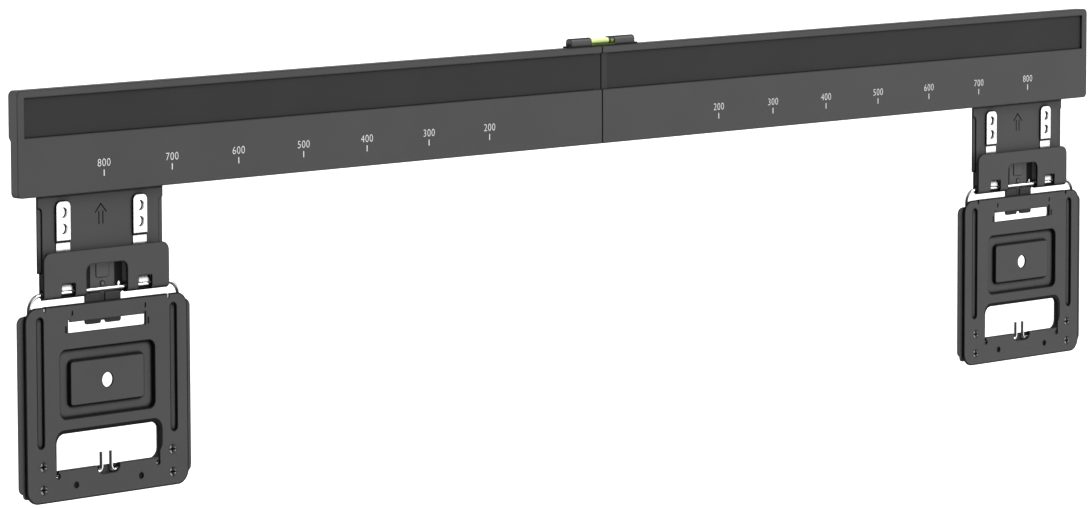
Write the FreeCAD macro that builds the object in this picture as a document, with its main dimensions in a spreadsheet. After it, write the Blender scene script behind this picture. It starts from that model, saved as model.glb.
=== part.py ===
import FreeCAD, Part
import math
import os
import Sketcher
from FreeCAD import Placement, Rotation, Vector

# A slim wall mount for a television, in millimetres.
# X runs along the marked bar, Z is up, and the wall is the plane Y = 0 with the room on its -Y side.
# The origin is on the wall behind the middle of the bar. Heights in the sheet are measured
# from the line through the two screen bolts, and each piece is set down lower by bolt_drop.
doc = FreeCAD.newDocument("TvWallMount")
sheet = doc.addObject("Spreadsheet::Sheet", "dims")

DIMENSIONS = [
    ("bolt_drop", 146.3),
    # the marked bar
    ("bar_bottom", 101.7),
    ("bar_height", 57.0),
    ("bar_deep", 7.0),
    ("bar_end_left", -461.6),
    ("bar_end_right", 461.6),
    ("bar_seam", -3.7),
    ("bar_wall", 1.6),
    ("bar_cap", 5.1),
    ("bar_corner", 3.0),
    ("bar_step", 30.1),
    ("shelf_rise", 2.1),
    ("lip_back", 1.5),
    ("lip_gauge", 1.2),
    ("lip_high", 4.8),
    ("rib_back", 1.3),
    ("rib_low", 7.3),
    ("rib_high", 8.0),
    ("inlay_low", 31.7),
    ("inlay_high", 52.9),
    ("inlay_pocket", 2.0),
    ("inlay_sunk", 1.2),
    ("inlay_play", 0.05),
    ("seam_gap", 0.1),
    ("tongue_run", 26.0),
    ("tongue_gauge", 1.7),
    ("tongue_low", 6.0),
    ("tongue_high", 29.8),
    # the spirit level
    ("level_mid", -1.15),
    ("level_half", 29.9),
    ("level_housing_outer", 27.4),
    ("level_housing_inner", 10.0),
    ("level_width", 4.6),
    ("level_back", 0.8),
    ("level_foot", 1.0),
    ("level_arch_centre", 3.0),
    ("vial_radius", 1.75),
    ("vial_half", 17.0),
    ("vial_play", 0.04),
    ("vial_end_play", 0.2),
    # the folded wall plates
    ("mark_span", 397.4),
    ("gauge", 1.2),
    ("hook_half", 45.5),
    ("fold_half", 44.0),
    ("plate_top", 130.8),
    ("trough", 3.4),
    ("fold_centre", 48.9),
    ("below_fold", 40.0),
    ("leaf_top", 71.3),
    ("leaf_corner", 5.0),
    ("arch_half", 15.0),
    ("arch_top", 63.1),
    ("arch_corner", 4.0),
    ("strip_centre", 27.9),
    ("strip_half", 5.0),
    ("window_top", 54.1),
    ("window_bottom", 46.8),
    ("window_corner", 0.8),
    ("coin_inner", 42.4),
    ("coin_low", 60.1),
    ("coin_top", 95.2),
    ("coin_corner", 2.5),
    ("coin_sunk", 0.6),
    ("screw_high", 91.7),
    ("screw_low", 83.0),
    ("screw_radius", 2.8),
    ("guide_centre", 24.0),
    ("guide_half", 6.0),
    ("guide_level", 108.0),
    ("guide_drop", 4.0),
    ("guide_reach", 3.2),
    ("lance_gap", 0.4),
    ("lance_high", 7.0),
    ("sight_x", 12.8),
    ("sight_z", 50.7),
    ("sight_radius", 1.4),
    # the spring strips and their caps
    ("spring_gauge", 0.5),
    ("spring_low", 50.25),
    ("spring_bend", 70.0),
    ("spring_high", 97.6),
    ("spring_reach", 4.35),
    ("cap_low", 76.9),
    ("cap_gauge", 0.6),
    ("strip_corner", 3.0),
    # the stop fork and the rivet that holds it
    ("fork_base_half", 14.8),
    ("fork_base_gauge", 0.3),
    ("fork_base_top", 65.5),
    ("fork_half", 8.9),
    ("fork_gauge", 0.5),
    ("fork_top", 68.0),
    ("fork_neck", 47.0),
    ("ridge_half", 4.7),
    ("ridge_low", 55.0),
    ("ridge_rise", 0.4),
    ("prong_tip", 30.4),
    ("prong_web_tip", 31.9),
    ("prong_inner", 1.6),
    ("prong_outer", 12.9),
    ("prong_gauge", 1.0),
    ("stud_height", 51.7),
    ("stud_head", 1.7),
    ("stud_shank", 1.0),
    ("stud_reach", 0.4),
    # the front plate of the screen bracket
    ("front_face", 5.45),
    ("skin", 1.0),
    ("front_half", 59.0),
    ("front_top", 42.7),
    ("front_bottom", -62.2),
    ("front_corner", 8.0),
    ("top_flange_half", 44.5),
    ("top_flange_deep", 1.3),
    ("nick", 1.2),
    ("nick_low", 2.4),
    ("past", 2.0),
    ("press_wall", 0.9),
    ("slot_half", 28.3),
    ("slot_top", 33.2),
    ("slot_bottom", 27.5),
    ("slot_nick", 1.3),
    ("slot_nick_high", 1.3),
    ("dish_half", 34.35),
    ("dish_high", 18.35),
    ("dish_sunk", 2.2),
    ("island_half", 27.05),
    ("island_high", 12.05),
    ("island_rise", 2.0),
    ("dish_corner", 4.0),
    ("island_corner", 2.0),
    ("hollow_corner", 1.4),
    ("dish_round", 0.8),
    ("island_round", 0.7),
    ("bolt_radius", 4.0),
    ("groove_inner", 46.3),
    ("groove_outer", 50.8),
    ("groove_top", 37.3),
    ("groove_bottom", -32.5),
    ("groove_sunk", 1.1),
    ("groove_wall", 0.7),
    ("opening_half", 37.7),
    ("opening_top", -26.2),
    ("opening_bottom", -45.75),
    ("opening_corner", 5.5),
    ("relief_wide", 1.2),
    ("relief_x", 36.5),
    ("relief_z", -48.6),
    ("relief_radius", 1.4),
    ("lip_half", 35.3),
    ("lip_deep", 1.3),
    ("bay_half", 8.2),
    ("bay_bottom", -50.5),
    ("pin_hole_x", 23.7),
    ("pin_hole_z", -54.5),
    ("pin_hole_radius", 1.7),
    # the rear plate of the screen bracket
    ("rear_half", 62.7),
    ("rear_top", 38.6),
    ("rear_bottom", -56.5),
    ("rear_corner", 4.0),
    ("rim_face", 3.55),
    ("pan_face", 1.85),
    ("pan_half", 57.2),
    ("pan_bottom", -59.6),
    ("bay_top_half", 31.0),
    ("bay_top_low", 25.5),
    ("bolt_window", 11.0),
    ("rear_opening_half", 39.2),
    ("rear_opening_top", -24.7),
    ("rear_opening_bottom", -46.35),
    # the bent wire bail
    ("wire_radius", 1.15),
    ("wire_plane", 3.15),
    ("wire_axis", 48.9),
    ("wire_half", 54.4),
    ("wire_top_bend", 8.0),
    ("wire_low_bend", 6.0),
    ("wire_low", -49.5),
    ("rod_half", 3.5),
    ("rod_top", -38.9),
    ("rod_bend", 2.6),
    # the screws and spacers that join the two plates
    ("joint_x", 47.15),
    ("joint_high", -42.5),
    ("joint_low", -54.9),
    ("joint_shank", 1.45),
    ("joint_head", 2.5),
    ("spacer_radius", 2.9),
    ("play", 0.06),
]


class Dim:
    """A sheet value with the formula that binds to it."""

    def __init__(self, text, value):
        self.text = text
        self.value = value

    def __add__(self, other):
        other = as_dim(other)
        return Dim("(%s + %s)" % (self.text, other.text), self.value + other.value)

    def __radd__(self, other):
        return as_dim(other) + self

    def __sub__(self, other):
        other = as_dim(other)
        return Dim("(%s - %s)" % (self.text, other.text), self.value - other.value)

    def __rsub__(self, other):
        return as_dim(other) - self

    def __mul__(self, other):
        other = as_dim(other)
        return Dim("(%s * %s)" % (self.text, other.text), self.value * other.value)

    def __rmul__(self, other):
        return as_dim(other) * self

    def __neg__(self):
        return Dim("(0 - %s)" % self.text, -self.value)


def as_dim(number):
    if isinstance(number, Dim):
        return number
    return Dim("%.4f" % number if number >= 0 else "(0 - %.4f)" % -number, float(number))


class Sheet:
    """Every driving dimension by its name."""


d = Sheet()
for row, (alias, number) in enumerate(DIMENSIONS, start=1):
    sheet.set("A%d" % row, alias.replace("_", " "))
    sheet.set("B%d" % row, "%g" % number)
    sheet.setAlias("B%d" % row, alias)
    setattr(d, alias, Dim("dims." + alias, number))
doc.recompute()

# full rounds keep this sliver of straight edge
SLACK = 0.01

made = []


def new_body(label):
    body = doc.addObject("PartDesign::Body", "piece_" + label)
    body.Label = label
    made.append(body)
    return body


def origin_plane(body, role):
    for feature in body.Origin.OriginFeatures:
        if feature.Role == role:
            return feature
    raise RuntimeError("no plane " + role)


def sketch_on(body, name, role, offset=0.0):
    """A sketch on one of the body's own planes. FRONT ones face the room, so an offset moves them to -Y."""
    offset = as_dim(offset)
    sketch = body.newObject("Sketcher::SketchObject", name)
    sketch.AttachmentSupport = [(origin_plane(body, role), "")]
    sketch.MapMode = "FlatFace"
    sketch.AttachmentOffset = Placement(Vector(0, 0, offset.value), Rotation())
    sketch.setExpression("AttachmentOffset.Base.z", offset.text)
    return sketch


FRONT = "XZ_Plane"
SIDE = "YZ_Plane"
PLAN = "XY_Plane"


def pin_point(sketch, geometry, position, u, v):
    """Hold one sketch point at sheet values."""
    for kind, dim in (("DistanceX", u), ("DistanceY", v)):
        index = sketch.addConstraint(Sketcher.Constraint(kind, -1, 1, geometry, position, dim.value))
        sketch.setExpression("Constraints[%d]" % index, dim.text)


def direction(a, b):
    du = b[0].value - a[0].value
    dv = b[1].value - a[1].value
    return (0 if abs(du) < 1e-6 else (1 if du > 0 else -1), 0 if abs(dv) < 1e-6 else (1 if dv > 0 else -1))


def angle_of(centre, u, v):
    return math.atan2(v - centre[1], u - centre[0])


def quarter(centre, radius, begin, end):
    """The arc that runs counter-clockwise from begin to end."""
    first = angle_of(centre, begin[0].value, begin[1].value)
    last = angle_of(centre, end[0].value, end[1].value)
    if last < first:
        last += math.tau
    circle = Part.Circle(Vector(centre[0], centre[1], 0), Vector(0, 0, 1), radius)
    return Part.ArcOfCircle(circle, first, last)


def outline(sketch, corners):
    """A closed loop through (u, v) or (u, v, corner radius). Rounded corners are square ones."""
    points = [(as_dim(c[0]), as_dim(c[1]), as_dim(c[2]) if len(c) > 2 else None) for c in corners]
    count = len(points)
    ends = []
    for i, (u, v, radius) in enumerate(points):
        if radius is None:
            ends.append(((u, v), (u, v), None))
            continue
        came = direction(points[i - 1], points[i])
        goes = direction(points[i], points[(i + 1) % count])
        start = (u - radius * came[0], v - radius * came[1])
        stop = (u + radius * goes[0], v + radius * goes[1])
        centre = (start[0].value + radius.value * goes[0], start[1].value + radius.value * goes[1])
        turn = came[0] * goes[1] - came[1] * goes[0]
        ends.append((start, stop, (centre, radius, turn)))
    first = None
    last = None
    for i in range(count):
        start, stop, bend = ends[i]
        if bend is not None:
            centre, radius, turn = bend
            begin, end = (start, stop) if turn > 0 else (stop, start)
            arc = sketch.addGeometry(quarter(centre, radius.value, begin, end))
            arc_in, arc_out = (1, 2) if turn > 0 else (2, 1)
            if last is not None:
                sketch.addConstraint(Sketcher.Constraint("Coincident", last[0], last[1], arc, arc_in))
            else:
                first = (arc, arc_in)
            index = sketch.addConstraint(Sketcher.Constraint("Radius", arc, radius.value))
            sketch.setExpression("Constraints[%d]" % index, radius.text)
            last = (arc, arc_out)
        target = ends[(i + 1) % count][0]
        segment = Part.LineSegment(Vector(stop[0].value, stop[1].value, 0),
                                   Vector(target[0].value, target[1].value, 0))
        if segment.length() < 1e-6:
            continue
        line = sketch.addGeometry(segment)
        if last is not None:
            sketch.addConstraint(Sketcher.Constraint("Coincident", last[0], last[1], line, 1))
        else:
            first = (line, 1)
        pin_point(sketch, line, 1, stop[0], stop[1])
        if ends[(i + 1) % count][2] is not None:
            pin_point(sketch, line, 2, target[0], target[1])
        last = (line, 2)
    sketch.addConstraint(Sketcher.Constraint("Coincident", last[0], last[1], first[0], first[1]))


def box(sketch, u_low, v_low, u_high, v_high, radius=None):
    corner = () if radius is None else (radius,)
    outline(sketch, [(u_low, v_low) + corner, (u_high, v_low) + corner, (u_high, v_high) + corner,
                     (u_low, v_high) + corner])


def disc(sketch, u, v, radius):
    u, v, radius = as_dim(u), as_dim(v), as_dim(radius)
    circle = sketch.addGeometry(Part.Circle(Vector(u.value, v.value, 0), Vector(0, 0, 1), radius.value))
    pin_point(sketch, circle, 3, u, v)
    index = sketch.addConstraint(Sketcher.Constraint("Radius", circle, radius.value))
    sketch.setExpression("Constraints[%d]" % index, radius.text)


def pad(body, name, sketch, length):
    length = as_dim(length)
    feature = body.newObject("PartDesign::Pad", name)
    feature.Profile = sketch
    feature.Length = length.value
    feature.setExpression("Length", length.text)
    return feature


def pocket(body, name, sketch, depth):
    """Cut from the sketch into the piece and check that something came off."""
    doc.recompute()
    before = body.Tip.Shape.Volume
    depth = as_dim(depth)
    feature = body.newObject("PartDesign::Pocket", name)
    feature.Profile = sketch
    feature.Length = depth.value
    feature.setExpression("Length", depth.text)
    doc.recompute()
    if not feature.Shape.Volume < before - 1e-6:
        raise RuntimeError("%s cut nothing" % name)
    return feature


def round_edges(body, name, radius, wanted):
    """Round the edges for which wanted(edge) holds."""
    doc.recompute()
    base = body.Tip
    names = ["Edge%d" % (i + 1) for i, edge in enumerate(base.Shape.Edges) if wanted(edge)]
    if not names:
        raise RuntimeError("%s found no edges" % name)
    radius = as_dim(radius)
    feature = body.newObject("PartDesign::Fillet", name)
    feature.Base = (base, names)
    feature.Radius = radius.value
    feature.setExpression("Radius", radius.text)
    return feature


def near(a, b, slack=0.02):
    return abs(a - b) < slack


def place(body, x):
    """Set the piece down at its distance along the bar."""
    x = as_dim(x)
    body.Placement = Placement(Vector(x.value, 0, -d.bolt_drop.value), Rotation())
    body.setExpression("Placement.Base.x", x.text)
    body.setExpression("Placement.Base.z", (-d.bolt_drop).text)


# The bar is a thin channel. Its upper half lies on the wall and its shallow lower half covers the plates.
def rail_profile(sketch):
    low = d.bar_bottom
    top = low + d.bar_height
    shelf = low + d.bar_step
    ledge = low + d.inlay_low
    brow = low + d.inlay_high
    web = d.bar_deep - d.inlay_pocket
    face_back = d.bar_wall - d.bar_deep
    web_back = d.bar_wall - web
    outline(sketch, [
        (-d.bar_deep, low),
        (-d.lip_back, low),
        (-d.lip_back, low + d.lip_high),
        (-d.lip_back - d.lip_gauge, low + d.lip_high),
        (-d.lip_back - d.lip_gauge, low + d.bar_wall),
        (face_back, low + d.bar_wall),
        (face_back, shelf),
        (-d.lip_back, shelf),
        (0.0, shelf + d.shelf_rise),
        (0.0, ledge + d.rib_low),
        (-d.rib_back, ledge + d.rib_low),
        (-d.rib_back, ledge),
        (web_back, ledge),
        (web_back, top - d.bar_wall),
        (-d.rib_back, top - d.bar_wall),
        (-d.rib_back, top - d.rib_high),
        (0.0, top - d.rib_high),
        (0.0, top),
        (-d.bar_deep, top),
        (-d.bar_deep, brow),
        (-web, brow),
        (-web, ledge),
        (-d.bar_deep, ledge),
    ])


def rail_end_profile(sketch):
    low = d.bar_bottom
    shelf = low + d.bar_step
    outline(sketch, [
        (-d.bar_deep, low),
        (-d.lip_back, low),
        (-d.lip_back, shelf),
        (0.0, shelf + d.shelf_rise),
        (0.0, low + d.bar_height),
        (-d.bar_deep, low + d.bar_height),
    ])


def rail_corner(x):
    """The two outer corners of a rail, seen from the front."""
    low = d.bar_bottom.value
    levels = (low, low + d.bar_height.value)

    def wanted(edge):
        box_of = edge.BoundBox
        at_end = near(box_of.XMin, x) and near(box_of.XMax, x)
        deep = box_of.ZLength < SLACK and box_of.YLength > d.bar_corner.value
        return at_end and deep and any(near(box_of.ZMin, level) for level in levels)
    return wanted


def make_rail_left():
    body = new_body("rail_left")
    cap = sketch_on(body, "rail_left_cap_sketch", SIDE, d.bar_end_left)
    rail_end_profile(cap)
    pad(body, "rail_left_cap", cap, d.bar_cap)
    run = sketch_on(body, "rail_left_run_sketch", SIDE, d.bar_end_left + d.bar_cap)
    rail_profile(run)
    pad(body, "rail_left_run", run, d.bar_seam - d.bar_end_left - d.bar_cap)
    round_edges(body, "rail_left_corners", d.bar_corner, rail_corner(d.bar_end_left.value))
    place(body, 0.0)


def make_rail_right():
    body = new_body("rail_right")
    start = d.bar_seam + d.seam_gap
    low = d.bar_bottom
    rib = sketch_on(body, "rail_right_rib_sketch", SIDE, start)
    rail_end_profile(rib)
    pad(body, "rail_right_rib", rib, d.bar_cap)
    run = sketch_on(body, "rail_right_run_sketch", SIDE, start + d.bar_cap)
    rail_profile(run)
    pad(body, "rail_right_run", run, d.bar_end_right - start - 2 * d.bar_cap)
    cap = sketch_on(body, "rail_right_cap_sketch", SIDE, d.bar_end_right - d.bar_cap)
    rail_end_profile(cap)
    pad(body, "rail_right_cap", cap, d.bar_cap)
    # the inner rib is set back to the level of the inlay
    level = sketch_on(body, "rail_right_level_sketch", FRONT, d.bar_deep)
    box(level, start, low + d.inlay_low, start + d.bar_cap, low + d.inlay_high)
    pocket(body, "rail_right_level", level, d.inlay_sunk)
    # a tongue reaches behind the left rail's web and keeps the halves in line
    tongue = sketch_on(body, "rail_right_tongue_sketch", SIDE, start - d.tongue_run)
    back = d.bar_wall - d.bar_deep + d.seam_gap
    box(tongue, back, low + d.tongue_low, back + d.tongue_gauge, low + d.tongue_high)
    pad(body, "rail_right_tongue", tongue, d.tongue_run)
    round_edges(body, "rail_right_corners", d.bar_corner, rail_corner(d.bar_end_right.value))
    place(body, 0.0)


def make_inlay(side):
    """The darker strip let into the upper half of the bar."""
    body = new_body("inlay_" + side)
    sketch = sketch_on(body, "inlay_%s_sketch" % side, FRONT, d.bar_deep - d.inlay_pocket)
    low = d.bar_bottom
    play = d.inlay_play
    if side == "left":
        ends = (d.bar_end_left + d.bar_cap + play, d.bar_seam - play)
    else:
        ends = (d.bar_seam + d.seam_gap + play + d.bar_cap, d.bar_end_right - d.bar_cap - play)
    box(sketch, ends[0], low + d.inlay_low + play, ends[1], low + d.inlay_high - play)
    pad(body, "inlay_%s_strip" % side, sketch, d.inlay_pocket - d.inlay_sunk)
    place(body, 0.0)


# The spirit level stands on the bar over the seam: a foot, two arched housings and the vial between them.
def make_level_body():
    body = new_body("level_body")
    top = d.bar_bottom + d.bar_height
    foot = sketch_on(body, "level_foot_sketch", PLAN, top)
    box(foot, d.level_mid - d.level_half, -d.level_back - d.level_width,
        d.level_mid + d.level_half, -d.level_back)
    pad(body, "level_foot_pad", foot, d.level_foot)
    radius = 0.5 * d.level_width
    crown = top + d.level_arch_centre + radius
    housing = d.level_housing_outer - d.level_housing_inner
    starts = (d.level_mid - d.level_housing_outer, d.level_mid + d.level_housing_inner)
    for side, start in zip("ab", starts):
        arch = sketch_on(body, "level_arch_%s_sketch" % side, SIDE, start)
        outline(arch, [
            (-d.level_back, top + d.level_foot),
            (-d.level_back, crown, radius - SLACK),
            (-d.level_back - d.level_width, crown, radius - SLACK),
            (-d.level_back - d.level_width, top + d.level_foot),
        ])
        pad(body, "level_arch_" + side, arch, housing)
    reach = d.vial_half + d.vial_end_play
    for side, start in (("a", d.level_mid - d.level_housing_inner), ("b", d.level_mid + reach)):
        bore = sketch_on(body, "level_bore_%s_sketch" % side, SIDE, start)
        disc(bore, -d.level_back - radius, top + d.level_arch_centre, d.vial_radius + d.vial_play)
        pocket(body, "level_bore_" + side, bore, reach - d.level_housing_inner)
    place(body, 0.0)


def make_level_vial():
    body = new_body("level_vial")
    top = d.bar_bottom + d.bar_height
    sketch = sketch_on(body, "level_vial_sketch", SIDE, d.level_mid - d.vial_half)
    disc(sketch, -d.level_back - 0.5 * d.level_width, top + d.level_arch_centre, d.vial_radius)
    pad(body, "level_vial_tube", sketch, 2 * d.vial_half)
    place(body, 0.0)


# The wall plate is one sheet: the back goes up behind the bar and the foot is folded up into a hook.
def sheet_profile(sketch):
    outer = 0.5 * d.trough + d.gauge
    inner = 0.5 * d.trough
    depth = d.trough + 2 * d.gauge
    centre = -outer
    points = [
        (as_dim(0.0), d.fold_centre),
        (as_dim(0.0), d.plate_top),
        (-d.gauge, d.plate_top),
        (-d.gauge, d.fold_centre),
    ]
    leaf = [
        (-d.gauge - d.trough, d.fold_centre),
        (-d.gauge - d.trough, d.leaf_top),
        (-depth, d.leaf_top),
        (-depth, d.fold_centre),
    ]
    lines = []
    for chain in (points, leaf):
        for a, b in zip(chain, chain[1:]):
            line = sketch.addGeometry(Part.LineSegment(Vector(a[0].value, a[1].value, 0),
                                                       Vector(b[0].value, b[1].value, 0)))
            pin_point(sketch, line, 1, a[0], a[1])
            pin_point(sketch, line, 2, b[0], b[1])
            lines.append(line)
    middle = Vector(centre.value, d.fold_centre.value, 0)
    bends = ((inner, (lines[3], 1), (lines[2], 2)), (outer, (lines[5], 2), (lines[0], 1)))
    for radius, first, second in bends:
        circle = Part.Circle(middle, Vector(0, 0, 1), radius.value)
        arc = sketch.addGeometry(Part.ArcOfCircle(circle, math.pi, math.tau))
        sketch.addConstraint(Sketcher.Constraint("Coincident", first[0], first[1], arc, 1))
        sketch.addConstraint(Sketcher.Constraint("Coincident", second[0], second[1], arc, 2))
        index = sketch.addConstraint(Sketcher.Constraint("DistanceY", -1, 1, arc, 3, d.fold_centre.value))
        sketch.setExpression("Constraints[%d]" % index, d.fold_centre.text)


def make_wall_plate(side, x):
    body = new_body("wall_plate_" + side)
    tag = "wall_plate_%s_" % side
    depth = d.trough + 2 * d.gauge
    fold = sketch_on(body, tag + "fold_sketch", SIDE, -d.hook_half)
    sheet_profile(fold)
    pad(body, tag + "fold", fold, 2 * d.hook_half)

    # lanced hooks that hold the lip at the back of the bar
    lug_back = -d.gauge + d.seam_gap
    lug_front = -d.gauge - d.guide_reach
    for number, centre in enumerate((-d.guide_centre, d.guide_centre)):
        hook = sketch_on(body, tag + "guide%d_sketch" % number, SIDE, centre - d.guide_half)
        outline(hook, [
            (lug_back, d.guide_level),
            (lug_back, d.guide_level + d.gauge),
            (lug_front, d.guide_level + d.gauge),
            (lug_front, d.guide_level - d.guide_drop),
            (lug_front + d.gauge, d.guide_level - d.guide_drop),
            (lug_front + d.gauge, d.guide_level),
        ])
        pad(body, tag + "guide%d" % number, hook, 2 * d.guide_half)

    # the sheet that the hooks were cut from leaves two windows behind the bar
    lance = sketch_on(body, tag + "lance_sketch", FRONT, d.gauge)
    lance_low = d.guide_level + d.gauge + d.lance_gap
    for sign in (-1, 1):
        box(lance, sign * d.guide_centre - d.guide_half, lance_low,
            sign * d.guide_centre + d.guide_half, lance_low + d.lance_high, d.window_corner)
    pocket(body, tag + "lance", lance, d.gauge)

    # wall screws go through two holes under each spring strip
    holes = sketch_on(body, tag + "holes_sketch", FRONT, d.gauge)
    for sign in (-1, 1):
        for level in (d.screw_high, d.screw_low):
            disc(holes, sign * d.strip_centre, level, d.screw_radius)
    pocket(body, tag + "holes", holes, d.gauge)

    # the arch takes the middle out of the leaf and of the fold below it
    arch = sketch_on(body, tag + "arch_sketch", FRONT, depth)
    outline(arch, [
        (-d.arch_half, d.below_fold),
        (d.arch_half, d.below_fold),
        (d.arch_half, d.arch_top, d.arch_corner),
        (-d.arch_half, d.arch_top, d.arch_corner),
    ])
    pocket(body, tag + "arch", arch, d.gauge + 0.5 * d.trough)
    gap = sketch_on(body, tag + "gap_sketch", FRONT, depth)
    box(gap, -d.arch_half, d.below_fold, d.arch_half, d.fold_centre)
    pocket(body, tag + "gap", gap, depth)

    # windows show the ends of the springs and the wire below them
    windows = sketch_on(body, tag + "windows_sketch", FRONT, depth)
    for sign in (-1, 1):
        middle = sign * d.strip_centre
        box(windows, middle - d.strip_half, d.window_bottom,
            middle + d.strip_half, d.window_top, d.window_corner)
    pocket(body, tag + "windows", windows, d.gauge + 0.25 * d.trough)

    # the edges are coined back below the ears, and the fold is a little narrower than the leaf
    beyond = d.hook_half + d.past
    coin = sketch_on(body, tag + "coin_sketch", FRONT, d.gauge)
    outline(coin, [
        (-beyond, d.coin_low),
        (-d.coin_inner, d.coin_low),
        (-d.coin_inner, d.coin_top, d.coin_corner),
        (-beyond, d.coin_top),
    ])
    outline(coin, [
        (beyond, d.coin_low),
        (beyond, d.coin_top),
        (d.coin_inner, d.coin_top, d.coin_corner),
        (d.coin_inner, d.coin_low),
    ])
    pocket(body, tag + "coin", coin, d.coin_sunk)
    trim = sketch_on(body, tag + "trim_sketch", FRONT, d.gauge + 0.5 * d.trough)
    box(trim, -beyond, d.below_fold, -d.fold_half, d.coin_low)
    box(trim, d.fold_half, d.below_fold, beyond, d.coin_low)
    pocket(body, tag + "trim", trim, d.gauge + 0.5 * d.trough)

    # the hole for the rivet and the small sight hole beside it
    stud = sketch_on(body, tag + "stud_sketch", FRONT, d.gauge)
    disc(stud, 0.0, d.stud_height, d.stud_shank + d.play)
    disc(stud, d.sight_x, d.sight_z, d.sight_radius)
    pocket(body, tag + "stud", stud, d.gauge)

    round_edges(body, tag + "leaf_corners", d.leaf_corner, top_corner(d.leaf_top, -depth, d.gauge - depth))
    round_edges(body, tag + "ear_corners", d.strip_corner, top_corner(d.plate_top, -d.gauge, as_dim(0.0)))
    place(body, x)


def top_corner(z, y_low, y_high):
    """Short edges through a sheet at one height, between two depths."""
    def wanted(edge):
        box_of = edge.BoundBox
        through = box_of.ZLength < SLACK and box_of.XLength < SLACK and near(box_of.ZMin, z.value)
        return through and box_of.YMin > y_low.value - SLACK and box_of.YMax < y_high.value + SLACK
    return wanted


def make_spring(side, hand, sign, x):
    """A flat spring lies on the wall plate, then leans forward and ends above the wire."""
    label = "spring_%s_%s" % (side, hand)
    body = new_body(label)
    sketch = sketch_on(body, label + "_sketch", SIDE, sign * d.strip_centre - d.strip_half)
    outline(sketch, [
        (-d.gauge, d.spring_high),
        (-d.gauge - d.spring_gauge, d.spring_high),
        (-d.gauge - d.spring_gauge, d.spring_bend),
        (-d.spring_reach, d.spring_low),
        (d.spring_gauge - d.spring_reach, d.spring_low),
        (-d.gauge, d.spring_bend),
    ])
    pad(body, label + "_blade", sketch, 2 * d.strip_half)
    holes = sketch_on(body, label + "_holes_sketch", FRONT, d.gauge + d.spring_gauge)
    for level in (d.screw_high, d.screw_low):
        disc(holes, sign * d.strip_centre, level, d.screw_radius)
    pocket(body, label + "_holes", holes, d.spring_gauge)
    blade_face = -d.gauge - d.spring_gauge
    round_edges(body, label + "_corners", d.strip_corner, top_corner(d.spring_high, blade_face, -d.gauge))
    place(body, x)


def make_cap(side, hand, sign, x):
    """The bright clamp plate over the top of each spring."""
    label = "strip_cap_%s_%s" % (side, hand)
    body = new_body(label)
    sketch = sketch_on(body, label + "_sketch", FRONT, d.gauge + d.spring_gauge)
    outline(sketch, [
        (sign * d.strip_centre - d.strip_half, d.cap_low),
        (sign * d.strip_centre + d.strip_half, d.cap_low),
        (sign * d.strip_centre + d.strip_half, d.spring_high, d.strip_corner),
        (sign * d.strip_centre - d.strip_half, d.spring_high, d.strip_corner),
    ])
    pad(body, label + "_plate", sketch, d.cap_gauge)
    holes = sketch_on(body, label + "_holes_sketch", FRONT, d.gauge + d.spring_gauge + d.cap_gauge)
    for level in (d.screw_high, d.screw_low):
        disc(holes, sign * d.strip_centre, level, d.screw_radius)
    pocket(body, label + "_holes", holes, d.cap_gauge)
    place(body, x)


def make_fork(side, x):
    """The stop fork: a ridged tongue behind the arch that ends in two prongs behind the screen bracket."""
    label = "stop_fork_" + side
    body = new_body(label)
    steps = (
        ("base", d.fork_base_half, d.fork_neck - d.gauge, d.fork_base_top, d.fork_base_gauge),
        ("tongue", d.fork_half, d.fork_neck - d.gauge, d.fork_top, d.fork_gauge),
        ("ridge", d.ridge_half, d.ridge_low, d.fork_top - d.gauge, d.fork_gauge + d.ridge_rise),
    )
    for name, half, low, high, thick in steps:
        sketch = sketch_on(body, "%s_%s_sketch" % (label, name), FRONT, d.gauge)
        box(sketch, -half, low, half, high, d.hollow_corner)
        pad(body, "%s_%s" % (label, name), sketch, thick)
    prongs = sketch_on(body, label + "_prongs_sketch", FRONT, d.gauge)
    outline(prongs, [
        (-d.prong_outer, d.prong_tip, d.hollow_corner),
        (-d.prong_inner, d.prong_tip, d.hollow_corner),
        (-d.prong_inner, d.prong_web_tip),
        (d.prong_inner, d.prong_web_tip),
        (d.prong_inner, d.prong_tip, d.hollow_corner),
        (d.prong_outer, d.prong_tip, d.hollow_corner),
        (d.prong_outer, d.fork_neck, d.hollow_corner),
        (-d.prong_outer, d.fork_neck, d.hollow_corner),
    ])
    pad(body, label + "_prongs", prongs, d.prong_gauge)
    # the web between the prongs is sunk, and the rivet passes through the tongue
    web = sketch_on(body, label + "_web_sketch", FRONT, d.gauge + d.prong_gauge)
    box(web, -d.prong_inner, d.prong_tip, d.prong_inner, d.fork_neck + SLACK)
    pocket(body, label + "_web", web, d.prong_gauge - d.fork_gauge)
    holes = sketch_on(body, label + "_holes_sketch", FRONT, d.gauge + d.fork_gauge)
    disc(holes, 0.0, d.stud_height, d.stud_shank + d.play)
    disc(holes, d.sight_x, d.sight_z, d.sight_radius)
    pocket(body, label + "_holes", holes, d.fork_gauge)
    place(body, x)


def make_stud(side, x):
    """The rivet that holds the fork to the wall plate."""
    label = "fork_stud_" + side
    body = new_body(label)
    head = sketch_on(body, label + "_head_sketch", FRONT, d.gauge + d.fork_gauge)
    disc(head, 0.0, d.stud_height, d.stud_head)
    pad(body, label + "_head", head, d.stud_reach)
    shank = sketch_on(body, label + "_shank_sketch", FRONT, d.seam_gap)
    disc(shank, 0.0, d.stud_height, d.stud_shank)
    pad(body, label + "_shank", shank, d.gauge + d.fork_gauge - d.seam_gap)
    place(body, x)


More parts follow.
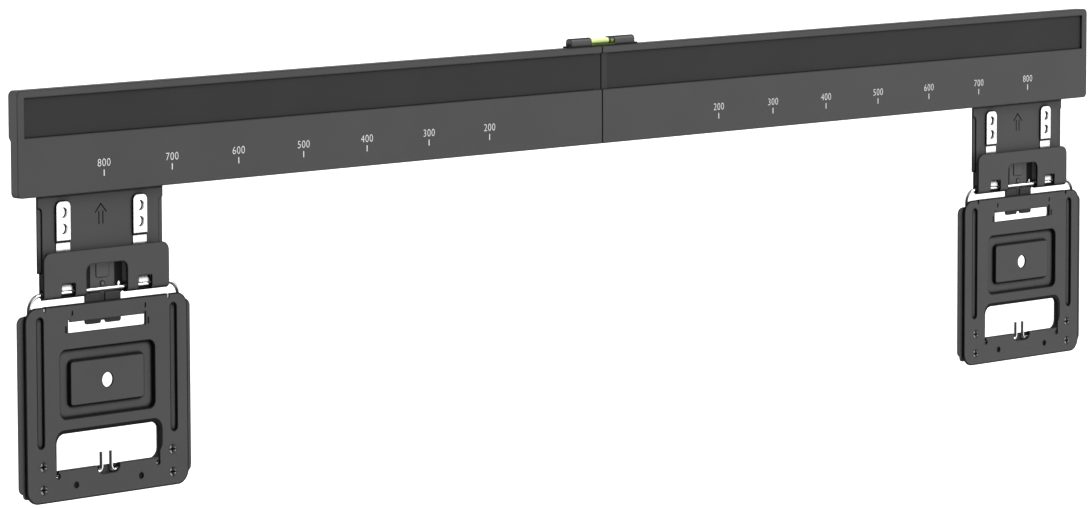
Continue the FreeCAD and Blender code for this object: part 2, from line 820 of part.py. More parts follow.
# The front plate of the screen bracket is a pressed sheet: every dish and groove keeps the sheet's thickness.
def both_grooves(sketch, wall):
    """The two long grooves, larger all round by the given wall."""
    corner = 0.5 * (d.groove_outer - d.groove_inner) + wall - SLACK
    inner, outer = d.groove_inner - wall, d.groove_outer + wall
    low, high = d.groove_bottom - wall, d.groove_top + wall
    box(sketch, -outer, low, -inner, high, corner)
    box(sketch, inner, low, outer, high, corner)


def press_dish(body, label, back):
    """The dish, the island that comes back up inside it, and the two grooves."""
    wide = d.dish_half + d.groove_wall
    high = d.dish_high + d.groove_wall
    dish_back = sketch_on(body, label + "_dish_back_sketch", FRONT, back - d.dish_sunk)
    box(dish_back, -wide, -high, wide, high, d.dish_corner)
    pad(body, label + "_dish_back", dish_back, d.dish_sunk)
    groove_back = sketch_on(body, label + "_groove_back_sketch", FRONT, back - d.groove_sunk)
    both_grooves(groove_back, d.groove_wall)
    pad(body, label + "_groove_back", groove_back, d.groove_sunk)

    dish = sketch_on(body, label + "_dish_sketch", FRONT, d.front_face)
    box(dish, -d.dish_half, -d.dish_high, d.dish_half, d.dish_high, d.dish_corner)
    pocket(body, label + "_dish", dish, d.dish_sunk)
    island = sketch_on(body, label + "_island_sketch", FRONT, d.front_face - d.dish_sunk)
    box(island, -d.island_half, -d.island_high, d.island_half, d.island_high, d.island_corner)
    pad(body, label + "_island", island, d.island_rise)
    grooves = sketch_on(body, label + "_grooves_sketch", FRONT, d.front_face)
    both_grooves(grooves, as_dim(0.0))
    pocket(body, label + "_grooves", grooves, d.groove_sunk)


def cut_opening(body, label, back):
    """The cable opening with its rolled edge, and a round relief at each end of the lip below it."""
    half = d.opening_half
    roll_half = half + d.press_wall
    roll = sketch_on(body, label + "_roll_sketch", FRONT, back - d.lip_deep)
    outline(roll, [
        (-roll_half, d.opening_bottom + d.past),
        (roll_half, d.opening_bottom + d.past),
        (roll_half, d.opening_top + d.press_wall, d.opening_corner + d.press_wall),
        (-roll_half, d.opening_top + d.press_wall, d.opening_corner + d.press_wall),
    ])
    pad(body, label + "_roll", roll, d.lip_deep)
    neck = half - d.relief_wide
    opening = sketch_on(body, label + "_opening_sketch", FRONT, d.front_face)
    outline(opening, [
        (-half, d.relief_z),
        (-neck, d.relief_z),
        (-neck, d.opening_bottom),
        (neck, d.opening_bottom),
        (neck, d.relief_z),
        (half, d.relief_z),
        (half, d.opening_top, d.opening_corner),
        (-half, d.opening_top, d.opening_corner),
    ])
    pocket(body, label + "_opening", opening, d.skin + d.lip_deep)


def cut_front(body, label):
    """Slot, nicks, the bay for the wire ends and the plain holes."""
    slot = sketch_on(body, label + "_slot_sketch", FRONT, d.front_face)
    ear = d.slot_half - d.slot_nick
    high = d.slot_top + d.slot_nick_high
    outline(slot, [
        (-d.slot_half, d.slot_bottom),
        (d.slot_half, d.slot_bottom),
        (d.slot_half, high),
        (ear, high),
        (ear, d.slot_top),
        (-ear, d.slot_top),
        (-ear, high),
        (-d.slot_half, high),
    ])
    pocket(body, label + "_slot", slot, d.skin)
    cuts = sketch_on(body, label + "_cuts_sketch", FRONT, d.front_face)
    low, high = d.front_top - d.nick_low, d.front_top + d.past
    box(cuts, -d.top_flange_half - d.nick, low, -d.top_flange_half, high)
    box(cuts, d.top_flange_half, low, d.top_flange_half + d.nick, high)
    outline(cuts, [
        (-d.bay_half, d.opening_bottom + d.nick),
        (-d.bay_half, d.bay_bottom, d.dish_corner),
        (d.bay_half, d.bay_bottom, d.dish_corner),
        (d.bay_half, d.opening_bottom + d.nick),
    ])
    for sign in (-1, 1):
        disc(cuts, sign * d.pin_hole_x, d.pin_hole_z, d.pin_hole_radius)
        disc(cuts, sign * d.relief_x, d.relief_z, d.relief_radius)
    pocket(body, label + "_cuts", cuts, d.skin + d.lip_deep)


def sink_screws(body, label, back):
    """Countersunk holes for the joining screws."""
    for number, (sign, level) in enumerate(joint_places()):
        across = sign * d.joint_x
        sink = body.newObject("PartDesign::SubtractiveCone", label + "_sink%d" % number)
        sink.Radius1 = d.joint_shank.value + d.play.value
        sink.Radius2 = d.joint_head.value + d.play.value
        sink.Height = d.skin.value
        sink.setExpression("Radius1", (d.joint_shank + d.play).text)
        sink.setExpression("Radius2", (d.joint_head + d.play).text)
        sink.setExpression("Height", d.skin.text)
        sink.AttachmentSupport = [(origin_plane(body, FRONT), "")]
        sink.MapMode = "FlatFace"
        sink.AttachmentOffset = Placement(Vector(across.value, level.value, back.value), Rotation())
        sink.setExpression("AttachmentOffset.Base.x", across.text)
        sink.setExpression("AttachmentOffset.Base.y", level.text)
        sink.setExpression("AttachmentOffset.Base.z", back.text)


def make_front_plate(side, x):
    label = "tv_plate_front_" + side
    body = new_body(label)
    back = d.front_face - d.skin
    skin = sketch_on(body, label + "_skin_sketch", FRONT, back)
    box(skin, -d.front_half, d.front_bottom, d.front_half, d.front_top, d.front_corner)
    pad(body, label + "_skin", skin, d.skin)
    press_dish(body, label, back)
    cut_opening(body, label, back)

    # the flanges bent back along the top edge and under the opening
    flanges = sketch_on(body, label + "_flanges_sketch", FRONT, back - d.top_flange_deep)
    box(flanges, -d.top_flange_half, d.front_top - d.skin, d.top_flange_half, d.front_top)
    box(flanges, -d.lip_half, d.opening_bottom - d.skin, d.lip_half, d.opening_bottom)
    pad(body, label + "_flanges", flanges, d.top_flange_deep)
    cut_front(body, label)

    # the hollow behind the island, and the screen bolt's hole through it
    crown = d.front_face - d.dish_sunk + d.island_rise
    hollow = sketch_on(body, label + "_hollow_sketch", FRONT, crown - d.skin)
    wide = d.island_half - d.press_wall
    high = d.island_high - d.press_wall
    box(hollow, -wide, -high, wide, high, d.hollow_corner)
    pocket(body, label + "_hollow", hollow, d.island_rise)
    bolt = sketch_on(body, label + "_bolt_sketch", FRONT, d.front_face)
    disc(bolt, 0.0, 0.0, d.bolt_radius)
    pocket(body, label + "_bolt", bolt, d.front_face)
    sink_screws(body, label, back)

    # soft pressed edges round the dish and the island
    round_edges(body, label + "_dish_edge", d.dish_round, rim_of(d.front_face, d.dish_half, d.dish_high))
    round_edges(body, label + "_island_edge", d.island_round, rim_of(crown, d.island_half, d.island_high))
    place(body, x)


def rim_of(level, half_x, half_z):
    """The edges of one rounded rectangle about the bolt hole, at one depth."""
    def wanted(edge):
        box_of = edge.BoundBox
        at_level = near(box_of.YMin, -level.value) and near(box_of.YMax, -level.value)
        across, up = abs(box_of.Center.x), abs(box_of.Center.z)
        fits = across < half_x.value + SLACK and up < half_z.value + SLACK
        outside = across > (half_x - d.dish_corner).value or up > (half_z - d.dish_corner).value
        return at_level and fits and outside
    return wanted


def joint_places():
    return [(-1, d.joint_high), (-1, d.joint_low), (1, d.joint_high), (1, d.joint_low)]


# The rear plate is a shallow tray: its sides stand forward as rims, and its floor leaves room for the wire.
def make_rear_plate(side, x):
    label = "tv_plate_rear_" + side
    body = new_body(label)
    rim = sketch_on(body, label + "_rim_sketch", FRONT, d.rim_face - d.skin)
    box(rim, -d.rear_half, d.rear_bottom, d.rear_half, d.rear_top, d.rear_corner)
    pad(body, label + "_rim", rim, d.skin)
    step = d.rim_face - d.pan_face
    pan = sketch_on(body, label + "_pan_sketch", FRONT, d.pan_face - d.skin)
    rim_half = d.pan_half + d.press_wall
    box(pan, -rim_half, d.pan_bottom, rim_half, d.rear_top, d.coin_corner)
    pad(body, label + "_pan", pan, step)
    clear = sketch_on(body, label + "_clear_sketch", FRONT, d.rim_face)
    box(clear, -d.pan_half, d.pan_bottom - d.past, d.pan_half, d.rear_top + d.past)
    pocket(body, label + "_clear", clear, step)

    cuts = sketch_on(body, label + "_cuts_sketch", FRONT, d.pan_face)
    outline(cuts, [
        (-d.bay_top_half, d.rear_top + d.past),
        (-d.bay_top_half, d.bay_top_low, d.bar_corner),
        (d.bay_top_half, d.bay_top_low, d.bar_corner),
        (d.bay_top_half, d.rear_top + d.past),
    ])
    half = d.rear_opening_half
    box(cuts, -half, d.rear_opening_bottom, half, d.rear_opening_top, d.opening_corner)
    disc(cuts, 0.0, 0.0, d.bolt_window)
    for sign, level in joint_places():
        disc(cuts, sign * d.joint_x, level, d.joint_shank + d.play)
    pocket(body, label + "_cuts", cuts, d.skin)
    place(body, x)


def straight_run(name, place_at, along, length):
    """A round bar from place_at towards +X or +Z."""
    bar = doc.addObject("Part::Cylinder", name)
    bar.Radius = d.wire_radius.value
    bar.Height = length.value
    bar.setExpression("Radius", d.wire_radius.text)
    bar.setExpression("Height", length.text)
    turn = Rotation(Vector(0, 1, 0), 90) if along == "x" else Rotation()
    set_down(bar, place_at, turn)
    return bar


def quarter_bend(name, centre, radius, first_angle):
    """A quarter of a ring that begins at first_angle, seen from the front."""
    bend = doc.addObject("Part::Torus", name)
    bend.Radius1 = radius.value
    bend.Radius2 = d.wire_radius.value
    bend.Angle3 = 90
    bend.setExpression("Radius1", radius.text)
    bend.setExpression("Radius2", d.wire_radius.text)
    set_down(bend, centre, Rotation(Vector(1, 0, 0), 90) * Rotation(Vector(0, 0, 1), first_angle))
    return bend


def make_wire(side, x):
    """The bail: one bent wire whose top run hangs in the hook and whose ends stand up in the opening."""
    label = "wire_bail_" + side
    half = d.wire_half
    depth = -d.wire_plane
    top, low = d.wire_axis - d.bolt_drop, d.wire_low - d.bolt_drop
    rod_top = d.rod_top - d.bolt_drop
    wide, tight, small = d.wire_top_bend, d.wire_low_bend, d.rod_bend
    leg_run = top - wide - low - tight
    foot_run = half - tight - d.rod_half - small
    rod_run = rod_top - low - small
    pieces = [straight_run(label + "_crown", (x - half + wide, depth, top), "x", 2 * (half - wide))]
    for tag, sign, outer, inner in (("a", -1, 180, 270), ("b", 1, 270, 180)):
        leg_x, rod_x = x + sign * half, x + sign * d.rod_half
        foot_start = x - half + tight if sign < 0 else x + d.rod_half + small
        shoulder = (leg_x - sign * wide, depth, top - wide)
        heel = (leg_x - sign * tight, depth, low + tight)
        knee = (rod_x + sign * small, depth, low + small)
        pieces += [
            straight_run("%s_leg_%s" % (label, tag), (leg_x, depth, low + tight), "z", leg_run),
            straight_run("%s_foot_%s" % (label, tag), (foot_start, depth, low), "x", foot_run),
            straight_run("%s_rod_%s" % (label, tag), (rod_x, depth, low + small), "z", rod_run),
            quarter_bend("%s_shoulder_%s" % (label, tag), shoulder, wide, 90 if sign < 0 else 0),
            quarter_bend("%s_heel_%s" % (label, tag), heel, tight, outer),
            quarter_bend("%s_knee_%s" % (label, tag), knee, small, inner),
        ]
    wire = doc.addObject("Part::MultiFuse", "piece_" + label)
    wire.Shapes = pieces
    wire.Label = label
    made.append(wire)


def make_spacers(side, x):
    """Four round spacers keep the two plates apart."""
    label = "tv_spacers_" + side
    gap = d.front_face - d.skin - d.pan_face
    pieces = []
    for number, (sign, level) in enumerate(joint_places()):
        round_bars = []
        for name, radius in (("outer", d.spacer_radius), ("inner", d.joint_shank + d.play)):
            bar = doc.addObject("Part::Cylinder", "%s_%s%d" % (label, name, number))
            bar.Radius = radius.value
            bar.Height = gap.value
            bar.setExpression("Radius", radius.text)
            bar.setExpression("Height", gap.text)
            stand(bar, x + sign * d.joint_x, -d.pan_face, level - d.bolt_drop)
            round_bars.append(bar)
        tube = doc.addObject("Part::Cut", "%s_tube%d" % (label, number))
        tube.Base, tube.Tool = round_bars
        pieces.append(tube)
    gather(label, pieces)


def make_screws(side, x):
    """Four countersunk screws, flush with the front plate."""
    label = "tv_screws_" + side
    back = d.front_face - d.skin
    pieces = []
    for number, (sign, level) in enumerate(joint_places()):
        head = doc.addObject("Part::Cone", "%s_head%d" % (label, number))
        head.Radius1 = d.joint_shank.value
        head.Radius2 = d.joint_head.value
        head.Height = d.skin.value
        head.setExpression("Radius1", d.joint_shank.text)
        head.setExpression("Radius2", d.joint_head.text)
        head.setExpression("Height", d.skin.text)
        stand(head, x + sign * d.joint_x, -back, level - d.bolt_drop)
        shank = doc.addObject("Part::Cylinder", "%s_shank%d" % (label, number))
        shank.Radius = d.joint_shank.value
        shank.Height = (back - d.pan_face + d.skin).value
        shank.setExpression("Radius", d.joint_shank.text)
        shank.setExpression("Height", (back - d.pan_face + d.skin).text)
        stand(shank, x + sign * d.joint_x, -(d.pan_face - d.skin), level - d.bolt_drop)
        screw = doc.addObject("Part::Fuse", "%s_screw%d" % (label, number))
        screw.Base = shank
        screw.Tool = head
        pieces.append(screw)
    gather(label, pieces)


def set_down(item, at, turn):
    """Give a primitive its place, bound to the sheet."""
    x, y, z = at
    item.Placement = Placement(Vector(x.value, y.value, z.value), turn)
    item.setExpression("Placement.Base.x", x.text)
    item.setExpression("Placement.Base.y", y.text)
    item.setExpression("Placement.Base.z", z.text)


def stand(item, x, y, z):
    """Set a round piece down with its axis pointing at the room."""
    set_down(item, (x, y, z), Rotation(Vector(1, 0, 0), 90))


def gather(label, pieces):
    group = doc.addObject("Part::Compound", "piece_" + label)
    group.Links = pieces
    group.Label = label
    made.append(group)


make_rail_left()
make_rail_right()
make_inlay("left")
make_inlay("right")
make_level_body()
make_level_vial()
for side, x in (("left", -d.mark_span), ("right", d.mark_span)):
    make_wall_plate(side, x)
    for hand, sign in (("a", -1), ("b", 1)):
        make_spring(side, hand, sign, x)
        make_cap(side, hand, sign, x)
    make_fork(side, x)
    make_stud(side, x)
    make_front_plate(side, x)
    make_rear_plate(side, x)
    make_wire(side, x)
    make_spacers(side, x)
    make_screws(side, x)

doc.recompute()
for item in doc.Objects:
    if "Invalid" in item.State or "Error" in item.State:
        raise RuntimeError("%s is %s" % (item.Label, item.State))

os.makedirs("parts", exist_ok=True)
for item in made:
    shape = item.Shape
    if shape.isNull() or not shape.isValid():
        raise RuntimeError("%s has no sound shape" % item.Label)
    shape.exportStep("parts/%s.step" % item.Label)
    box_of = shape.BoundBox
    print("%-24s solids %d  volume %9.1f  X %7.2f %7.2f  Y %6.2f %6.2f  Z %7.2f %7.2f" % (
        item.Label, len(shape.Solids), shape.Volume, box_of.XMin, box_of.XMax, box_of.YMin, box_of.YMax,
        box_of.ZMin, box_of.ZMax))
print("%d pieces written" % len(made))
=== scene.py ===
# %% [markdown]
# # A slim wall mount for a television
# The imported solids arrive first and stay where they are. Everything below dresses them:
# powder-coated sheet, bright wire, a printed scale, a spirit level, and a plain studio.
# All lengths are metres in the row's frame: X along the bar, Z up, the wall at Y = 0.

# %% Load the frame
import math
import bmesh
import bpy
from mathutils import Matrix, Vector


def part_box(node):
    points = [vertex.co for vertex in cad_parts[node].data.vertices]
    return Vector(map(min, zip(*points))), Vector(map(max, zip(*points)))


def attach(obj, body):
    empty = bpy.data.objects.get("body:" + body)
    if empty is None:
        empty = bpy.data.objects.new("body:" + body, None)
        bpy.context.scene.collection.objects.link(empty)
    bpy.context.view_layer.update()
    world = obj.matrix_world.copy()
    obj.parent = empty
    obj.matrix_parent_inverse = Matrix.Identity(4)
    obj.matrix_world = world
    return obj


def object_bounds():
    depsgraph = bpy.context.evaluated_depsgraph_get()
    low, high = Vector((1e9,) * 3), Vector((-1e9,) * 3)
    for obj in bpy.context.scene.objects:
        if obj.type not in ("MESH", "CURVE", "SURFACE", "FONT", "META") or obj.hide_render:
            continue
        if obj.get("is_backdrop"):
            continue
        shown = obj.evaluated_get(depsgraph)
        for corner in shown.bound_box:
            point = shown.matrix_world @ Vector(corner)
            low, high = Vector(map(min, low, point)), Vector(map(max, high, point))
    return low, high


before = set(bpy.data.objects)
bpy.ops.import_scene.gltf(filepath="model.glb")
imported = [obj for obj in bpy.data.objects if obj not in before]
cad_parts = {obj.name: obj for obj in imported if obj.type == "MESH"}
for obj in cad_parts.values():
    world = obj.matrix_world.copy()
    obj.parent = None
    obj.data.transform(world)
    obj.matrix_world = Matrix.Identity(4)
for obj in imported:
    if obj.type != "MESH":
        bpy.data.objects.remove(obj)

cad_low, cad_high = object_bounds()
MM = 0.001
print("nodes", len(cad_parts))

# %% [markdown]
# ## Measures taken from the frame
# Each place below is read from the box of the node that carries it, so nothing floats. Heights on
# the brackets count from the screen bolt, which lies BOLT_DROP below the origin.

# %% Places
BOLT_DROP = 0.1463
rail_low = Vector([min(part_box("rail_left")[0][i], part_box("rail_right")[0][i]) for i in range(3)])
rail_high = Vector([max(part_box("rail_left")[1][i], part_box("rail_right")[1][i]) for i in range(3)])
bar_face = rail_low.y
bar_bottom = rail_low.z
bar_top = rail_high.z
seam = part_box("rail_left")[1].x
BRACKETS = {}
for side in ("left", "right"):
    low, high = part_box("tv_plate_front_" + side)
    BRACKETS[side] = 0.5 * (low.x + high.x)
bar_long, bar_high = rail_high.x - rail_low.x, bar_top - bar_bottom
print("bar %.1f mm long, %.1f mm high" % (bar_long / MM, bar_high / MM))
print("brackets at", {side: round(x / MM, 1) for side, x in BRACKETS.items()})

# %% [markdown]
# ## The camera
# The view was solved from the scale's own marks: 47 degrees to the side and 6 degrees from above,
# through a long lens. The picture is 1092 by 508.

# %% Camera
PICTURE = (1092, 508)
LENS_PIXELS = 5639.0
SENSOR_WIDE = 36.0
YAW, PITCH, ROLL = math.radians(47.28), math.radians(-5.99), math.radians(-0.17)
CAMERA_AT = Vector((-2.4418, -2.2131, 0.3817 - BOLT_DROP))


def look(yaw, pitch, roll):
    level = math.cos(pitch)
    forward = Vector((math.sin(yaw) * level, math.cos(yaw) * level, math.sin(pitch)))
    right = Vector((math.cos(yaw), -math.sin(yaw), 0.0))
    up = right.cross(forward)
    right_rolled = math.cos(roll) * right + math.sin(roll) * up
    up_rolled = -math.sin(roll) * right + math.cos(roll) * up
    rows = [[right_rolled[i], up_rolled[i], -forward[i]] for i in range(3)]
    return Matrix(rows).to_4x4()


camera_data = bpy.data.cameras.new("camera")
camera_data.sensor_width = SENSOR_WIDE
camera_data.lens = SENSOR_WIDE * LENS_PIXELS / PICTURE[0]
camera_data.clip_start = 0.05
camera_data.clip_end = 50.0
camera = bpy.data.objects.new("camera", camera_data)
camera.matrix_world = Matrix.Translation(CAMERA_AT) @ look(YAW, PITCH, ROLL)
bpy.context.scene.collection.objects.link(camera)
bpy.context.scene.camera = camera
print("lens %.1f mm" % camera_data.lens)

# %% [markdown]
# ## A small language for shader maths
# A finish is a sum of small patterns. It reads best as arithmetic, so a socket is wrapped in a class
# whose operators add Math nodes. Colours go through Mix nodes, because a Math node turns them grey.


# %% Shader sockets
class Socket:
    """One output of a node tree, with operators that add Math nodes."""

    def __init__(self, paint, output):
        self.paint = paint
        self.output = output

    def math(self, operation, *others):
        values = dict(enumerate((self,) + others))
        return self.paint.make("ShaderNodeMath", {"operation": operation}, values)

    def __add__(self, other):
        return self.math("ADD", other)

    __radd__ = __add__

    def __sub__(self, other):
        return self.math("SUBTRACT", other)

    def __rsub__(self, other):
        return (self * -1.0) + other

    def __mul__(self, other):
        return self.math("MULTIPLY", other)

    def __truediv__(self, other):
        return self.math("DIVIDE", other)

    def __abs__(self):
        return self.math("ABSOLUTE")

    def __pow__(self, other):
        return self.math("POWER", other)

    def clamp(self, low=0.0, high=1.0):
        return self.math("MAXIMUM", low).math("MINIMUM", high)

    def step(self, low, high):
        """0 below low, 1 above high, straight between."""
        return ((self - low) / (high - low)).clamp()


print("socket class ready")

# %% [markdown]
# Every node of every tree is made by one method. A value that is a socket gets linked, and any
# other value is written into the node.

# %% Node trees
MIX_FIRST, MIX_SECOND, MIX_COLOUR = 6, 7, 2   # where a colour Mix node keeps its colours


class Tree:
    """A node tree in which every node is made by one method."""

    def __init__(self, tree):
        self.tree = tree

    def plug(self, socket, value):
        if isinstance(value, Socket):
            self.tree.links.new(value.output, socket)
        else:
            socket.default_value = value

    def make(self, kind, settings=None, sockets=None, output=0):
        made = self.tree.nodes.new(kind)
        for key, value in (settings or {}).items():
            setattr(made, key, value)
        for key, value in (sockets or {}).items():
            self.plug(made.inputs[key], value)
        return Socket(self, made.outputs[output])

    def axes(self, point):
        split = self.make("ShaderNodeSeparateXYZ", None, {0: point})
        return [Socket(self, output) for output in split.output.node.outputs]

    def mix(self, share, first, second):
        sockets = {"Factor": share, MIX_FIRST: first, MIX_SECOND: second}
        return self.make("ShaderNodeMix", {"data_type": "RGBA"}, sockets, MIX_COLOUR)


print("tree class ready")

# %% [markdown]
# A material adds the patterns that these finishes share. Points are read in metres on the piece
# itself, so a pattern keeps its scale on a short spring and on a bar nearly a metre long.


# %% Patterns
ROUND_SAMPLES = 4
GAP_SAMPLES = 8
EDGE_TURN = (0.005, 0.06)
MOTTLE = (0.3, 0.7)


class Paint(Tree):
    """A material with its Principled shader."""

    def __init__(self, name):
        self.material = bpy.data.materials.new(name)
        self.material.use_nodes = True
        super().__init__(self.material.node_tree)
        self.shader = next(n for n in self.tree.nodes if n.type == "BSDF_PRINCIPLED")

    def place(self):
        return self.make("ShaderNodeTexCoord", output="Object")

    def stretch(self, point, scale):
        return self.make("ShaderNodeVectorMath", {"operation": "MULTIPLY"}, {0: point, 1: scale})

    def noise(self, point, scale, detail=3.0):
        sockets = {"Vector": point, "Scale": scale, "Detail": detail}
        return self.make("ShaderNodeTexNoise", None, sockets, "Fac")

    def dot(self, first, second):
        sockets = {0: first, 1: second}
        return self.make("ShaderNodeVectorMath", {"operation": "DOT_PRODUCT"}, sockets, "Value")

    def rounded(self, radius):
        return self.make("ShaderNodeBevel", {"samples": ROUND_SAMPLES}, {"Radius": radius})

    def edge(self, radius):
        """1 on sharp edges, 0 on flat faces: the rounded normal against the true one."""
        true = self.make("ShaderNodeNewGeometry", output="Normal")
        return (1.0 - self.dot(self.rounded(radius), true)).step(*EDGE_TURN)

    def crease(self, distance):
        """1 deep in a gap or corner, 0 on an open face: where painted shade goes."""
        settings = {"samples": GAP_SAMPLES}
        return 1.0 - self.make("ShaderNodeAmbientOcclusion", settings, {"Distance": distance}, "AO")

    def turned(self):
        """0 where a face looks straight at the room or the wall, towards 1 where it turns away."""
        x, y, z = self.axes(self.make("ShaderNodeTexCoord", output="Normal"))
        return 1.0 - abs(y)

    def facing(self, direction):
        """1 where a face looks straight at a direction, 0 where it stands across it."""
        return self.dot(self.make("ShaderNodeTexCoord", output="Normal"), direction)

    def bump(self, height, distance, strength, bevel):
        sockets = {"Strength": strength, "Distance": distance, "Height": height}
        sockets["Normal"] = self.rounded(bevel)
        self.plug(self.shader.inputs["Normal"], self.make("ShaderNodeBump", None, sockets))

    def set(self, **values):
        for key, value in values.items():
            self.plug(self.shader.inputs[key.replace("_", " ")], value)


print("patterns ready")

# %% [markdown]
# Greys are written as a screen shows them, from 0 to 255. The shader works in linear light.


# %% Greys
def grey(level):
    """A screen grey of 0 to 255 as a linear colour."""
    share = level / 255.0
    linear = share / 12.92 if share <= 0.04045 else ((share + 0.055) / 1.055) ** 2.4
    return (linear, linear, linear, 1.0)


print("grey 128 is %.3f in linear light" % grey(128)[0])

# %% [markdown]
# ## Powder coat
# The sheets and the bar carry a satin powder coat. It has an orange-peel bump and faint mottling,
# and painted shade makes it black where an edge turns away and where two sheets leave a narrow gap.
# A rounded normal finds the edges, and a short-range occlusion finds the gaps.

# %% Powder coat
# The black of painted shade.
SHADE_BLACK = grey(8)
EDGE_REACH = 1.1 * MM
GAP_REACH = 3.2 * MM
GAP_SHADE = (0.13, 0.27)
PEEL, GRAIN, CLOUD = 900.0, 4200.0, 22.0    # pattern scales, per metre
COAT_SHINE = 0.22
COAT_GREY = 72


def satin(cloud, grain, painted_shading, roughness):
    """Roughness that wanders a little and rises where shade is painted."""
    return (cloud * 0.10 + grain * 0.08 + painted_shading * 0.2 + (roughness - 0.09)).clamp(0.2, 0.95)


def powder_coat(name, level, roughness, rim=0.8, gap=GAP_SHADE, extra=None, quiet=None):
    """The shared coat with its painted shade. Extra adds a painted shade mask of its own, and quiet
    keeps the painted lines off a place.
    """
    paint = Paint(name)
    point = paint.place()
    peel = paint.noise(point, PEEL, 2.0)
    grain = paint.noise(point, GRAIN, 1.0)
    cloud = paint.noise(point, CLOUD, 4.0)
    base = paint.mix(cloud.step(*MOTTLE), grey(level - 2), grey(level + 2))
    # Painted shade: black on edges that turn away and deep in narrow gaps.
    painted_shading = paint.edge(EDGE_REACH) * rim + paint.crease(GAP_REACH).step(*gap)
    if quiet is not None:
        painted_shading = painted_shading * (1.0 - quiet(paint, point))
    if extra is not None:
        painted_shading = painted_shading + extra(paint, point)
    painted_shading = painted_shading.clamp()
    paint.set(Base_Color=paint.mix(painted_shading, base, SHADE_BLACK), Specular_IOR_Level=COAT_SHINE)
    paint.set(Roughness=satin(cloud, grain, painted_shading, roughness))
    paint.bump(peel * 0.7 + grain * 0.3, 0.05 * MM, 0.35, 0.25 * MM)
    return paint.material


tray_coat = powder_coat("tray_coat", COAT_GREY + 2, 0.52, rim=0.45, gap=(0.34, 0.55))
screw_coat = powder_coat("screw_coat", COAT_GREY + 4, 0.4, rim=0.3)
print("coats", [m.name for m in bpy.data.materials if "coat" in m.name])

# %% [markdown]
# Some pieces need one more patch of painted shade. Pressed sheets are painted black on every wall
# that turns away from the front. On the screen plate a thin line of painted shade follows the dish,
# the island and the grooves where the sheet was folded, and painted shade darkens its border and the
# rolled edge round its lower opening too.

# %% Pressed sheets
BLEND = 0.1 * MM
WALL_TURN = (0.08, 0.4)
# each outline: its middle, half its width and height, its corner, and how far out a pair lies
ROLL = ((0.65 * MM, -34.1 * MM), (39.15 * MM, 9.9 * MM), 6.5 * MM)
BORDER = ((0.0, -9.75 * MM), (59.0 * MM, 52.45 * MM), 8.0 * MM)
DISH = ((0.0, 0.0), (34.35 * MM, 18.35 * MM), 4.0 * MM)
ISLAND = ((0.0, 0.0), (27.05 * MM, 12.05 * MM), 2.0 * MM)
GROOVES = ((0.0, 2.4 * MM), (2.25 * MM, 34.9 * MM), 2.2 * MM, 48.55 * MM)
BORDER_LINE, BORDER_SHADE = 0.9 * MM, 0.8
FOLD_LINE, FOLD_SHADE = (0.35 * MM, 0.7 * MM), 0.93


# Painted shade: black on pressed walls that turn away from the front.
def pressed_wall(paint, point):
    return paint.turned().step(*WALL_TURN)


def outside(paint, point, middle, half, corner, spread=0.0):
    """Distance in metres out of a rounded rectangle on each screen plate, or out of a pair."""
    x, y, z = paint.axes(point)
    off_middle = abs(x - x.math("SIGN") * BRACKETS["right"] - middle[0])
    across = abs(off_middle - spread) - (half[0] - corner)
    up = abs(z + (BOLT_DROP - middle[1])) - (half[1] - corner)
    run = across.math("MAXIMUM", 0.0)
    rise = up.math("MAXIMUM", 0.0)
    inside = across.math("MAXIMUM", up).math("MINIMUM", 0.0)
    return (run * run + rise * rise) ** 0.5 + inside - corner


def drawn_line(paint, point, outline):
    """A thin line of painted shade along an outline, as the fold of a pressed wall shows it."""
    return 1.0 - abs(outside(paint, point, *outline)).step(*FOLD_LINE)


def plate_lines(paint, point):
    # Painted shade on the rolled lip, along the folds, on the plate's border and on turned walls.
    rolled_shade = 1.0 - outside(paint, point, *ROLL).step(-2 * BLEND, 2 * BLEND)
    fold_shades = sum(drawn_line(paint, point, outline) for outline in (DISH, ISLAND, GROOVES))
    border_shade = outside(paint, point, *BORDER).step(-BORDER_LINE, 3 * BLEND - BORDER_LINE)
    return rolled_shade + fold_shades * FOLD_SHADE + border_shade * BORDER_SHADE + pressed_wall(paint, point)


bracket_coat = powder_coat("bracket_coat", COAT_GREY, 0.52, extra=pressed_wall)
front_coat = powder_coat("front_coat", COAT_GREY, 0.52, extra=plate_lines)
print("outlines drawn on each screen plate", len((ROLL, BORDER, DISH, ISLAND, GROOVES)))

# %% [markdown]
# The bar's right half has a rib at the seam, sunk as deep as the strips beside it and as dark as
# they are. The level's arched housings are black along the crown, where they turn away from the
# light.

# %% Bar and level
RIB_HALF = 6.0 * MM
RIB_SHADE = 0.45
SUNK = (0.5 * MM, 0.9 * MM)
CROWN = (0.75 * MM, 0.35 * MM)
inlay_low, inlay_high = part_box("inlay_left")
level_low, level_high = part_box("level_body")


def by_seam(paint, point):
    """1 on what is sunk beside the seam, where no painted shade line shows but the seam's own line.
    """
    x, y, z = paint.axes(point)
    near_seam = 1.0 - abs(x - seam).step(RIB_HALF, RIB_HALF + 0.5 * MM)
    sunk = y.step(bar_face + SUNK[0], bar_face + SUNK[1])
    above_low = z.step(inlay_low.z, inlay_low.z + BLEND)
    above_high = z.step(inlay_high.z - BLEND, inlay_high.z)
    return near_seam * sunk * (above_low - above_high)


def sunk_rib(paint, point):
    return by_seam(paint, point) * RIB_SHADE


def crown(paint, point):
    x, y, z = paint.axes(point)
    return z.step(level_high.z - CROWN[0], level_high.z - CROWN[1])


bar_coat = powder_coat("bar_coat", COAT_GREY - 1, 0.5, gap=(0.2, 0.5),
                       extra=sunk_rib, quiet=by_seam)
level_coat = powder_coat("level_moulding", COAT_GREY + 4, 0.42, rim=0.95, extra=crown)
print("rib at x %.1f mm" % (seam / MM))

